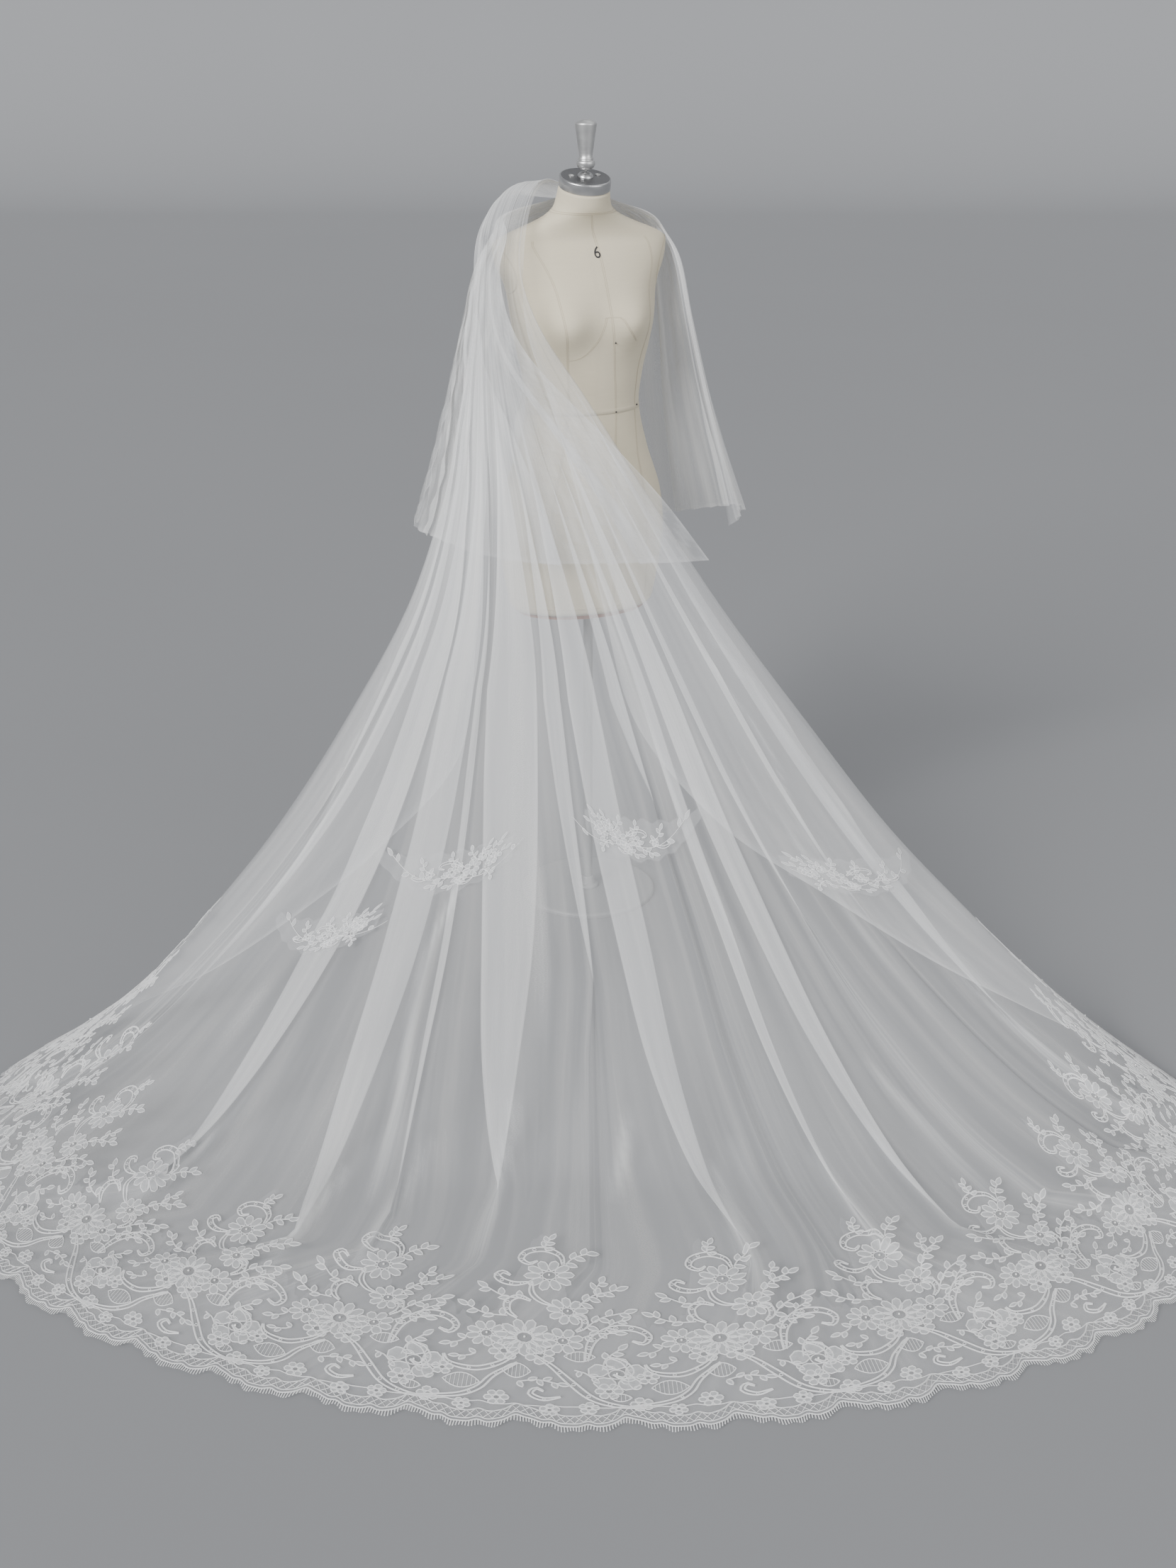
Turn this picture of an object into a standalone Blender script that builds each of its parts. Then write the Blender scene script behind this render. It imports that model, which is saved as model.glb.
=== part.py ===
"""Two-tier bridal veil on a limbless dress form.

Metres, +Z up. The origin is on the floor, at the centre of the stand's base plate.
The viewer's side is -Y, and +X is to the viewer's right.
"""

import math

import bmesh
import bpy
import numpy as np

# Cloth
WALL = 0.0010
SEAM_GAP = 0.0003
FLOOR_CLEAR = 0.0003
FLOOR_SOFT = 0.004

# Long tier. Each row is a section across the cloth, from the comb down to the hem: its left
# ridge, its middle and its right ridge, and how far the section wraps past a half turn.
SECTION_COLUMNS = "left_x left_y left_z mid_x mid_y mid_z right_x right_y right_z wrap_deg".split()
LONG_SECTIONS = (
    (-0.0622, 0.0483, 1.5088, -0.0372, 0.0649, 1.5088, -0.0084, 0.0696, 1.5088, 0),
    (-0.158, 0.026, 1.520, -0.122, 0.034, 1.540, -0.082, 0.032, 1.545, 0),
    (-0.202, -0.076, 1.474, -0.160, -0.080, 1.494, -0.118, -0.062, 1.505, 0),
    (-0.216, -0.122, 1.380, -0.176, -0.148, 1.390, -0.130, -0.150, 1.398, 0),
    (-0.232, -0.128, 1.240, -0.170, -0.176, 1.260, -0.092, -0.188, 1.290, 0),
    (-0.258, -0.132, 1.100, -0.140, -0.205, 1.090, 0.000, -0.188, 1.150, 0),
    (-0.290, -0.148, 0.950, -0.100, -0.265, 0.920, 0.110, -0.207, 0.980, 0),
    (-0.365, -0.195, 0.740, -0.050, -0.380, 0.690, 0.270, -0.225, 0.740, 0),
    (-0.490, -0.300, 0.530, -0.020, -0.550, 0.460, 0.440, -0.310, 0.530, 0),
    (-0.610, -0.410, 0.360, 0.000, -0.740, 0.260, 0.590, -0.420, 0.360, 6),
    (-0.725, -0.500, 0.230, 0.000, -0.950, 0.110, 0.730, -0.510, 0.230, 12),
    (-0.840, -0.570, 0.110, 0.000, -1.170, 0.008, 0.860, -0.590, 0.115, 18),
    (-0.930, -0.610, 0.045, 0.000, -1.430, 0.004, 0.950, -0.640, 0.045, 24),
    (-1.000, -0.640, 0.012, 0.000, -1.730, 0.001, 1.010, -0.685, 0.012, 28),
)

# Where the two selvedges hang, behind the ridges, at the same rows.
SELVEDGE_COLUMNS = "left_x left_y left_z right_x right_y right_z".split()
LONG_SELVEDGES = (
    (-0.0689, 0.0403, 1.5088, -0.0006, 0.0687, 1.5088),
    (-0.162, 0.034, 1.511, -0.078, 0.040, 1.538),
    (-0.208, -0.073, 1.467, -0.111, -0.058, 1.501),
    (-0.221, -0.113, 1.379, -0.124, -0.145, 1.400),
    (-0.205, -0.138, 1.235, -0.118, -0.166, 1.284),
    (-0.198, -0.156, 1.090, -0.070, -0.168, 1.130),
    (-0.205, -0.187, 0.930, -0.020, -0.192, 0.960),
    (-0.225, -0.225, 0.700, 0.030, -0.218, 0.745),
    (-0.265, -0.275, 0.440, 0.100, -0.280, 0.510),
    (-0.420, -0.380, 0.285, 0.270, -0.375, 0.330),
    (-0.565, -0.465, 0.190, 0.470, -0.460, 0.220),
    (-0.740, -0.545, 0.095, 0.680, -0.547, 0.115),
    (-0.875, -0.598, 0.050, 0.850, -0.617, 0.052),
    (-0.965, -0.628, 0.012, 0.975, -0.673, 0.012),
)
FLAP_SHARES = (1.0, 0.64, 0.28)

# Folds of the long tier, from left to right: the share across the section and the overlap of
# each at row 7.3, then the share and the row of its tip, below which it is a soft step.
FOLD_ROW = 7.3
GATHER_SLOPE = 0.30
TIP_SLOPE = 0.008
SPREAD_ROW = 11.8
OVERLAP_ROW = 3.5
FOLD_STEPS = (0.0, 0.55, 1.25, 2.0)
FOLD_COLUMNS = "share overlap tip_share tip_row".split()
LONG_FOLDS = (
    (0.105, 0.040, 0.130, 8.6),
    (0.160, 0.030, 0.150, 9.8),
    (0.226, 0.068, 0.283, 11.7),
    (0.296, 0.060, 0.372, 11.8),
    (0.338, 0.014, 0.408, 11.4),
    (0.400, 0.092, 0.454, 11.0),
    (0.472, 0.030, 0.504, 9.3),
    (0.525, 0.050, 0.567, 11.6),
    (0.585, 0.022, 0.600, 8.0),
    (0.636, 0.022, 0.625, 11.6),
    (0.675, 0.038, 0.664, 11.5),
    (0.715, 0.018, 0.717, 9.3),
    (0.800, 0.012, 0.787, 8.9),
    (0.895, 0.085, 0.833, 10.6),
)
LONG_ROWS = (
    0, 0.5, 1, 1.5, 2, 2.6, 3.3, 4, 4.7, 5.4, 6.1, 6.8, 7.4, 8, 8.6, 9.2, 9.8, 10.4, 11, 11.5, 12, 12.5, 13,
)
LONG_LAYER_ROWS = (0, 1, 2, 4, 5.4, 9, 11, 12, 13)
LONG_LAYERS = (0.0, 0.0, 0.0016, 0.0034, 0.0050, 0.0066, 0.0070, 0.0066, 0.0)
LONG_FREE_ROW = 5

# Short tier. Its rows run from the comb to the hem and its angles from the front (0) round the
# left (90) and the back (180) to the right (270).
SHORT_COLUMNS = (
    "front_z left_z back_z right_z half_width centre_x front_depth back_depth turn start_deg end_deg".split()
)
SHORT_SECTIONS = (
    (1.508, 1.508, 1.508, 1.508, 0.068, -0.012, 0.068, 0.068, 0.000, 125, 235),
    (1.489, 1.483, 1.462, 1.480, 0.146, -0.021, 0.050, 0.096, 0.034, 75, 262),
    (1.460, 1.448, 1.423, 1.440, 0.1723, -0.0159, 0.056, 0.112, 0.066, 55, 275),
    (1.385, 1.380, 1.360, 1.385, 0.206, -0.018, 0.094, 0.135, 0.064, 48, 281),
    (1.265, 1.260, 1.240, 1.270, 0.234, -0.020, 0.138, 0.155, 0.053, 30, 284),
    (1.105, 1.110, 1.090, 1.120, 0.272, -0.020, 0.134, 0.190, 0.040, -4, 288),
    (0.960, 0.980, 0.950, 0.990, 0.310, -0.018, 0.156, 0.220, 0.030, -30, 293),
    (0.815, 0.864, 0.800, 0.880, 0.347, -0.017, 0.166, 0.250, 0.020, -50, 298),
)
# Folds of the short tier: the angle and overlap at the hem, and the angle at the shoulder line.
SHORT_FOLD_COLUMNS = "hem_deg overlap_deg pin_deg".split()
SHORT_FOLDS = (
    (-24, 7, 62),
    (10, 8, 69),
    (40, 8, 78),
    (68, 7, 86),
    (94, 6, 95),
    (126, 8, 122),
    (158, 7, 155),
    (190, 8, 190),
    (222, 8, 226),
    (247, 7, 253),
    (267, 6, 263),
    (285, 5, 270),
)
SHORT_PIN_ROW = 2
SHORT_PIN_OVERLAP = -1.0
SHORT_FREE_ROW = 3
SHORT_CORNER_DROP = 0.020
SHORT_ROWS = (0, 0.5, 1, 1.5, 2, 2.5, 3, 4, 5, 6, 7)
SHORT_LAYER_ROWS = (0, 2, 3, 7)
SHORT_LAYERS = (0.0, 0.0014, 0.0034, 0.0050)

# Lace border
LACE_WALL = 0.0010
LACE_REPEATS = 14.6
LACE_PEAK = 0.42
LACE_LOW_PEAK = 0.27
LACE_VALLEY = 0.19
LACE_FIRST_ROW = 10.4
LACE_CLEAR = 0.0010

# Lace sprays: share and row at each end, height in the middle, and which end is thick.
SPRAY_COLUMNS = "start_share start_row end_share end_row thick_end".split()
SPRAYS = (
    (0.188, 9.45, 0.292, 9.15, 1),
    (0.263, 8.66, 0.412, 8.40, 1),
    (0.512, 8.17, 0.650, 8.20, 0),
    (0.733, 8.75, 0.942, 9.22, 0),
)
SPRAY_HEIGHT = 0.095
SPRAY_BOW = 0.14
SPRAY_UP = 0.62
SPRAY_DOWN = 0.38
SPRAY_LENGTHS = 14
SPRAY_CLEAR = 0.0010

# Dress form, in its own frame: front at -Y, then turned towards the viewer's right.
FORM_TURN = math.radians(22)
FORM_X = -0.012
FORM_SIDES = 28
FORM_COLUMNS = "z half_width front_depth back_depth shift_y".split()
FORM_SECTIONS = (
    (0.6850, 0.152, 0.098, 0.105, 0.004),
    (0.6900, 0.156, 0.102, 0.110, 0.004),
    (0.760, 0.171, 0.107, 0.122, 0.004),
    (0.846, 0.180, 0.108, 0.128, 0.002),
    (0.930, 0.170, 0.104, 0.112, 0.000),
    (1.020, 0.140, 0.092, 0.088, 0.000),
    (1.106, 0.121, 0.086, 0.078, 0.000),
    (1.170, 0.127, 0.090, 0.082, 0.000),
    (1.230, 0.140, 0.096, 0.092, 0.000),
    (1.290, 0.150, 0.100, 0.100, 0.000),
    (1.345, 0.158, 0.094, 0.104, 0.004),
    (1.390, 0.177, 0.076, 0.096, 0.008),
    (1.420, 0.184, 0.060, 0.080, 0.010),
    (1.436, 0.181, 0.050, 0.066, 0.010),
    (1.450, 0.155, 0.045, 0.058, 0.006),
    (1.464, 0.118, 0.044, 0.054, 0.002),
    (1.478, 0.085, 0.046, 0.053, -0.002),
    (1.492, 0.063, 0.050, 0.054, -0.005),
    (1.506, 0.055, 0.053, 0.055, -0.006),
    (1.5335, 0.050, 0.050, 0.050, -0.0130),
)
NECK_LOW_Z = 1.478
NECK_LEAN = math.radians(15)
BUST_X = 0.080
BUST_Z = 1.282
BUST_OUT = 0.034
BUST_WIDE = 0.055
BUST_TALL = 0.050
RIM_Z = 0.6760
RIM_HALF_WIDTH = 0.142
RIM_DEPTH = 0.096
RIM_SHIFT_Y = 0.006

CAP_RADIUS = 0.051
CAP_HEIGHT = 0.021
CAP_BEVEL = 0.0010
CAP_CLEAR = 0.0005
KNOB_CLEAR = 0.0008
SCREW_RADIUS = 0.0050
SCREW_HEIGHT = 0.0012
SCREW_PLACES = ((-0.028, 0.004), (0.028, 0.004))

# Turned profiles as (radius, height), top first
KNOB_PROFILE = (
    (0, 0.0960), (0.0120, 0.0942), (0.0205, 0.0885), (0.0213, 0.0865), (0.0200, 0.0780), (0.0175, 0.0610),
    (0.0150, 0.0430), (0.0130, 0.0280), (0.0148, 0.0235), (0.0142, 0.0210), (0.0165, 0.0200),
    (0.0184, 0.0165), (0.0175, 0.0110), (0.0130, 0.0055), (0.0045, 0.0028), (0.0020, 0.0), (0, 0),
)
BOSS_PROFILE = (
    (0, 0.0085), (0.0055, 0.0082), (0.0100, 0.0068), (0.0140, 0.0040), (0.0160, 0.0), (0, 0),
)

POLE_RADIUS = 0.010
BASE_RADIUS = 0.150
BASE_HEIGHT = 0.010

COMB_START_DEG = 150
COMB_END_DEG = 210
COMB_INNER = 0.0560
COMB_OUTER = 0.0608
COMB_TOP = 1.5150
COMB_BAR = 0.008
NECK_X = -0.012
BAND_START_DEG = 140
BAND_END_DEG = 215
BAND_INNER = 0.0612
BAND_OUTER = 0.0671
BAND_LOW = 1.5030
BAND_HIGH = 1.5098

# name: colour, roughness, metallic
FINISHES = {
    "tulle": ((0.93, 0.94, 0.95), 0.75, 0.0),
    "lace": ((0.96, 0.96, 0.97), 0.70, 0.0),
    "linen": ((0.72, 0.68, 0.58), 0.85, 0.0),
    "wood": ((0.42, 0.20, 0.12), 0.45, 0.0),
    "steel": ((0.62, 0.63, 0.65), 0.30, 1.0),
    "satin_silver": ((0.78, 0.79, 0.80), 0.28, 1.0),
    "stand_paint": ((0.85, 0.85, 0.84), 0.45, 0.0),
}


def clear_scene():
    for obj in list(bpy.data.objects):
        bpy.data.objects.remove(obj, do_unlink=True)


def make_collection(name):
    found = bpy.data.collections.get(name) or bpy.data.collections.new(name)
    if found.name not in bpy.context.scene.collection.children:
        bpy.context.scene.collection.children.link(found)
    return found


def finish_of(name):
    found = bpy.data.materials.get(name)
    if found:
        return found
    colour, roughness, metallic = FINISHES[name]
    found = bpy.data.materials.new(name)
    found.use_nodes = True
    shader = found.node_tree.nodes["Principled BSDF"]
    shader.inputs["Base Color"].default_value = (*colour, 1.0)
    shader.inputs["Roughness"].default_value = roughness
    shader.inputs["Metallic"].default_value = metallic
    return found


def place(obj, finish):
    """Puts an object in the part's collection alone and gives it its finish."""
    for collection in list(obj.users_collection):
        collection.objects.unlink(obj)
    PART.objects.link(obj)
    obj.data.materials.clear()
    obj.data.materials.append(finish_of(finish))
    return obj


def smooth_column(values, row):
    """A smooth curve through a column's values, read at a row that may lie between two."""
    last = len(values) - 1
    low = min(max(int(math.floor(row)), 0), last - 1)
    share = row - low
    before = values[low - 1] if low else 2 * values[0] - values[1]
    after = values[low + 2] if low + 2 <= last else 2 * values[last] - values[last - 1]
    start, end = values[low], values[low + 1]
    leave, arrive = (end - before) / 2, (after - start) / 2
    square, cube = share**2, share**3
    return (
        (2 * cube - 3 * square + 1) * start
        + (cube - 2 * square + share) * leave
        + (3 * square - 2 * cube) * end
        + (cube - square) * arrive
    )


def read_row(names, table, row):
    columns = np.array(table, float).T
    return {name: smooth_column(columns[i], row) for i, name in enumerate(names)}


def long_base(share, row):
    """A point of the long tier's unfolded surface."""
    r = read_row(SECTION_COLUMNS, LONG_SECTIONS, row)
    wrap = math.radians(r["wrap_deg"])
    angle = (2 * share - 1) * (math.pi / 2 + wrap)
    centre_x = (r["left_x"] + r["right_x"]) / 2
    half = (r["right_x"] - r["left_x"]) / (2 * math.cos(wrap))
    ridge_y = (r["left_y"] + r["right_y"]) / 2
    depth = (ridge_y - r["mid_y"]) / (1 + math.sin(wrap))
    skew = (r["right_y"] - r["left_y"]) / 2 / math.cos(wrap)
    lean = (r["mid_x"] - centre_x) * max(math.cos(angle), 0) ** 2
    side = math.sin(abs(2 * share - 1) * math.pi / 2) ** 2
    side_z = r["left_z"] if share < 0.5 else r["right_z"]
    return np.array(
        (
            centre_x + half * math.sin(angle) + lean,
            r["mid_y"] + depth * (1 - math.cos(angle)) + skew * math.sin(angle),
            r["mid_z"] + (side_z - r["mid_z"]) * side,
        )
    )


def short_base(degrees, row):
    """A point of the short tier's unfolded surface."""
    r = read_row(SHORT_COLUMNS, SHORT_SECTIONS, row)
    angle = math.radians(degrees)
    across = -math.sin(angle)
    depth = r["front_depth"] if math.cos(angle) > 0 else r["back_depth"]
    end_z = r["front_z"] if math.cos(angle) > 0 else r["back_z"]
    side_z = r["left_z"] if across < 0 else r["right_z"]
    if degrees < 0:
        side_z = r["front_z"] - SHORT_CORNER_DROP
    return np.array(
        (
            r["centre_x"] + r["half_width"] * across,
            -depth * math.cos(angle) + r["turn"] * across,
            side_z + (end_z - side_z) * math.cos(angle) ** 2,
        )
    )


def surface_normal(base, along, row, step):
    """The unit normal of a surface: inwards on the long tier, outwards on the short one."""
    lower, upper = max(row - 0.02, 0), row + 0.02
    across = base(along + step, row) - base(along - step, row)
    down = base(along, upper) - base(along, lower)
    normal = np.cross(across, down)
    return normal / np.linalg.norm(normal)


def soft_step(value, start, end):
    share = min(max((value - start) / (end - start), 0), 1)
    return share * share * (3 - 2 * share)


def layer_gap(row, rows, gaps, share, free_row):
    """The distance between a fold's layers. Above free_row it shrinks towards both ends of the
    section, which are sharply curved there."""
    free = soft_step(row, free_row - 2, free_row)
    return float(np.interp(row, rows, gaps)) * (free + (1 - free) * math.sin(math.pi * share))


def long_fold_edges(index, row):
    """The two edges, as shares, of one fold of the long tier at a row."""
    fold = dict(zip(FOLD_COLUMNS, LONG_FOLDS[index]))
    count = len(LONG_FOLDS)
    top_share = (index + 0.5) / count
    top_overlap = -GATHER_SLOPE / count
    if row < FOLD_ROW:
        centre = top_share + (fold["share"] - top_share) * soft_step(row, 1, FOLD_ROW)
        overlap = top_overlap + (fold["overlap"] - top_overlap) * soft_step(row, OVERLAP_ROW, FOLD_ROW)
    else:
        blend = (row - FOLD_ROW) / (fold["tip_row"] - FOLD_ROW)
        centre = fold["share"] + (fold["tip_share"] - fold["share"]) * min(blend, 1)
        overlap = max(fold["overlap"] * (1 - blend), -TIP_SLOPE)
    return centre - overlap / 2, centre + overlap / 2


def folded_columns(edges_of, count, first, last, row):
    """(place across, layers in) of each column of a section whose folds alternate, so that the
    flat cloth between them lies in front and behind by turns."""
    columns = [(first, 0.0)]
    reached, layer = first, 0.0
    for index in range(count):
        near, far = edges_of(index, row)
        columns.append(((reached + near) / 2, layer))
        goes_in = index % 2 == 0
        steps = FOLD_STEPS if goes_in else FOLD_STEPS[::-1]
        slope = max(near - far, 0) / 3
        columns += [(far, steps[0]), (far + slope, steps[1]), (near - slope, steps[2]), (near, steps[3])]
        reached, layer = far, steps[3]
    columns.append(((reached + last) / 2, layer))
    columns.append((last, 0.0))
    return columns


def long_columns(row):
    """The columns of the long tier's front. Below the last fold's tip they spread until the hem,
    where they are evenly spaced."""
    folded = folded_columns(long_fold_edges, len(LONG_FOLDS), 0.0, 1.0, row)
    blend = max(row - SPREAD_ROW, 0) / (LONG_ROWS[-1] - SPREAD_ROW)
    spread = []
    for place_number, (share, layer) in enumerate(folded):
        even = place_number / (len(folded) - 1)
        spread.append((share + (even - share) * blend, layer))
    return spread


def long_point(share, layers, row):
    gap = layer_gap(row, LONG_LAYER_ROWS, LONG_LAYERS, share, LONG_FREE_ROW)
    point = long_base(share, row)
    point = point + surface_normal(long_base, share, row, 0.004) * layers * gap
    lowest = FLOOR_CLEAR + WALL / 2 + (2 - layers) * gap
    point[2] = lowest + math.log1p(math.exp((point[2] - lowest) / FLOOR_SOFT)) * FLOOR_SOFT
    return point


def long_tier_rows():
    """The mid-surface of the long tier, as rows of points from the left to the right selvedge."""
    rows = []
    for row in LONG_ROWS:
        selvedge = read_row(SELVEDGE_COLUMNS, LONG_SELVEDGES, row)
        points = []
        front = [long_point(share, layers, row) for share, layers in long_columns(row)]
        left = np.array([selvedge["left_" + axis] for axis in "xyz"])
        right = np.array([selvedge["right_" + axis] for axis in "xyz"])
        points += [front[0] + (left - front[0]) * share for share in FLAP_SHARES]
        points += front
        points += [front[-1] + (right - front[-1]) * share for share in reversed(FLAP_SHARES)]
        rows.append(np.array(points))
    return np.array(rows)


def short_fold_edges(index, row):
    fold = dict(zip(SHORT_FOLD_COLUMNS, SHORT_FOLDS[index]))
    section = read_row(SHORT_COLUMNS, SHORT_SECTIONS, row)
    start, end = section["start_deg"], section["end_deg"]
    count = len(SHORT_FOLDS)
    top_overlap = -GATHER_SLOPE * (end - start) / count
    shares = [(index + 0.5) / count]
    for angle, at_row in ((fold["pin_deg"], SHORT_PIN_ROW), (fold["hem_deg"], len(SHORT_SECTIONS) - 1)):
        there = dict(zip(SHORT_COLUMNS, SHORT_SECTIONS[at_row]))
        shares.append((angle - there["start_deg"]) / (there["end_deg"] - there["start_deg"]))
    steps = (0, SHORT_PIN_ROW, len(SHORT_SECTIONS) - 1)
    centre = start + (end - start) * float(np.interp(row, steps, shares))
    overlap = float(np.interp(row, steps, (top_overlap, SHORT_PIN_OVERLAP, fold["overlap_deg"])))
    return centre - overlap / 2, centre + overlap / 2


def short_tier_rows():
    """The mid-surface of the short tier, as rows of points from its front edge round the back."""
    rows = []
    for row in SHORT_ROWS:
        section = read_row(SHORT_COLUMNS, SHORT_SECTIONS, row)
        start, end = section["start_deg"], section["end_deg"]
        points = []
        for degrees, layers in folded_columns(short_fold_edges, len(SHORT_FOLDS), start, end, row):
            share = (degrees - start) / (end - start)
            gap = layer_gap(row, SHORT_LAYER_ROWS, SHORT_LAYERS, share, SHORT_FREE_ROW)
            outward = surface_normal(short_base, degrees, row, 0.8)
            points.append(short_base(degrees, row) - outward * layers * gap)
        rows.append(points)
    return np.array(rows)


def grid_surface(rows):
    build = bmesh.new()
    grid = [[build.verts.new(point) for point in row] for row in rows]
    for upper, lower in zip(grid, grid[1:]):
        for i in range(len(upper) - 1):
            build.faces.new((upper[i], lower[i + 1], upper[i + 1]))
            build.faces.new((upper[i], lower[i], lower[i + 1]))
    return build


def skin_object(name, build, wall, finish):
    """Turns an open surface into a cloth piece with a wall."""
    mesh = bpy.data.meshes.new(name)
    build.to_mesh(mesh)
    build.free()
    obj = bpy.data.objects.new(name, mesh)
    bpy.context.scene.collection.objects.link(obj)
    skin = obj.modifiers.new("wall", "SOLIDIFY")
    skin.thickness = wall
    skin.offset = 0.0
    mesh.shade_smooth()
    return place(obj, finish)


def sheet(name, rows, wall, finish):
    """A cloth piece: the grid of its mid-surface, given its wall by Solidify."""
    return skin_object(name, grid_surface(rows), wall, finish)


def loft(name, rings, finish):
    """A closed body through rings of points that run anticlockwise seen from above."""
    mesh = bpy.data.meshes.new(name)
    build = bmesh.new()
    grid = [[build.verts.new(point) for point in ring] for ring in rings]
    for lower, upper in zip(grid, grid[1:]):
        count = len(lower)
        for i in range(count):
            after = (i + 1) % count
            build.faces.new((lower[i], lower[after], upper[after], upper[i]))
    build.faces.new(list(reversed(grid[0])))
    build.faces.new(grid[-1])
    build.to_mesh(mesh)
    build.free()
    mesh.shade_smooth()
    obj = bpy.data.objects.new(name, mesh)
    bpy.context.scene.collection.objects.link(obj)
    return place(obj, finish)


def turned(name, profile, finish, steps=32):
    """A turned piece: its outer profile as (radius, height), top first, spun about its Z axis."""
    mesh = bpy.data.meshes.new(name)
    mesh.from_pydata([(radius, 0, height) for radius, height in profile],
                     [(i, i + 1) for i in range(len(profile) - 1)], [])
    obj = bpy.data.objects.new(name, mesh)
    bpy.context.scene.collection.objects.link(obj)
    spin = obj.modifiers.new("turn", "SCREW")
    spin.steps = steps
    spin.render_steps = steps
    spin.use_merge_vertices = True
    spin.merge_threshold = 1e-5
    return place(obj, finish)


def arc_block(name, start_deg, end_deg, inner, outer, low, high, finish, steps=12):
    """A curved bar round the neck, between two radii and two heights."""
    mesh = bpy.data.meshes.new(name)
    build = bmesh.new()
    rings = []
    for i in range(steps + 1):
        angle = math.radians(start_deg + (end_deg - start_deg) * i / steps)
        across, along = -math.sin(angle), -math.cos(angle)
        rings.append(
            [
                build.verts.new((NECK_X + radius * across, radius * along, height))
                for radius, height in ((inner, low), (outer, low), (outer, high), (inner, high))
            ]
        )
    for first, second in zip(rings, rings[1:]):
        for i in range(4):
            after = (i + 1) % 4
            build.faces.new((first[i], first[after], second[after], second[i]))
    build.faces.new(list(reversed(rings[0])))
    build.faces.new(rings[-1])
    bmesh.ops.recalc_face_normals(build, faces=build.faces[:])
    build.to_mesh(mesh)
    build.free()
    obj = bpy.data.objects.new(name, mesh)
    bpy.context.scene.collection.objects.link(obj)
    return place(obj, finish)


def form_point(angle, z):
    """A point of the torso's surface in the form's own frame. Angle 0 is the front."""
    heights = [section[0] for section in FORM_SECTIONS]
    values = [np.interp(z, heights, column) for column in np.array(FORM_SECTIONS).T]
    r = dict(zip(FORM_COLUMNS, values))
    across, along = math.sin(angle), math.cos(angle)
    x = r["half_width"] * across
    depth = r["front_depth"] if along > 0 else r["back_depth"]
    y = -depth * along
    if along > 0:
        for side in (-1, 1):
            away = ((x - side * BUST_X) / BUST_WIDE) ** 2 + ((z - BUST_Z) / BUST_TALL) ** 2
            y -= BUST_OUT * math.exp(-away) * along**0.5
    return x, y + r["shift_y"]


def to_world(x, y, z):
    turn_cos, turn_sin = math.cos(FORM_TURN), math.sin(FORM_TURN)
    return FORM_X + x * turn_cos - y * turn_sin, x * turn_sin + y * turn_cos, z


def build_form():
    rings = []
    for section in FORM_SECTIONS:
        z = section[0]
        ring = []
        for i in range(FORM_SIDES):
            x, y = form_point(2 * math.pi * i / FORM_SIDES, z)
            lean = max(z - NECK_LOW_Z, 0) / (FORM_SECTIONS[-1][0] - NECK_LOW_Z)
            ring.append(to_world(x, y, z + (y - section[FORM_COLUMNS.index("shift_y")]) * math.tan(NECK_LEAN) * lean))
        rings.append(ring)
    loft("form_body", rings, "linen")
    rings = []
    for z in (RIM_Z, FORM_SECTIONS[0][0] - SEAM_GAP):
        ring = []
        for i in range(FORM_SIDES):
            angle = 2 * math.pi * i / FORM_SIDES
            across, along = RIM_HALF_WIDTH * math.sin(angle), -RIM_DEPTH * math.cos(angle)
            ring.append(to_world(across, along + RIM_SHIFT_Y, z))
        rings.append(ring)
    loft("form_rim", rings, "wood")


def cap_point(x, y, height):
    """A place on the tilted neck cap: across it, along it and above its underside."""
    neck = dict(zip(FORM_COLUMNS, FORM_SECTIONS[-1]))
    back = y * math.cos(NECK_LEAN) - height * math.sin(NECK_LEAN)
    up = y * math.sin(NECK_LEAN) + height * math.cos(NECK_LEAN)
    return to_world(x, neck["shift_y"] + back, neck["z"] + CAP_CLEAR + up)


def build_head():
    """The steel cap on the neck with its screws, and the turned knob that stands upright on it."""
    r, h = CAP_RADIUS, CAP_HEIGHT
    bevel = CAP_BEVEL
    profile = ((0, h), (r - 4 * bevel, h), (r - bevel, h - 0.8 * bevel), (r, h - 3 * bevel), (r, bevel),
               (r - bevel, 0), (0, 0))
    cap = turned("neck_cap", profile, "steel", 40)
    cap.location = cap_point(0, 0, 0)
    cap.rotation_euler = (NECK_LEAN, 0, FORM_TURN)
    for name, (x, y) in zip(("cap_screw_left", "cap_screw_right"), SCREW_PLACES):
        bpy.ops.mesh.primitive_cylinder_add(vertices=12, radius=SCREW_RADIUS, depth=SCREW_HEIGHT)
        screw = bpy.context.object
        screw.name = name
        place(screw, "steel")
        screw.location = cap_point(x, y, CAP_HEIGHT + SEAM_GAP + SCREW_HEIGHT / 2)
        screw.rotation_euler = (NECK_LEAN, 0, FORM_TURN)
    boss = turned("knob_boss", BOSS_PROFILE, "steel", 24)
    boss.location = cap_point(0, 0, CAP_HEIGHT + SEAM_GAP)
    boss.rotation_euler = (NECK_LEAN, 0, FORM_TURN)
    x, y, z = cap_point(0, 0, CAP_HEIGHT + SEAM_GAP + BOSS_PROFILE[0][1])
    knob = turned("knob", KNOB_PROFILE, "satin_silver", 24)
    knob.location = (x, y, z + KNOB_CLEAR)


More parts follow.
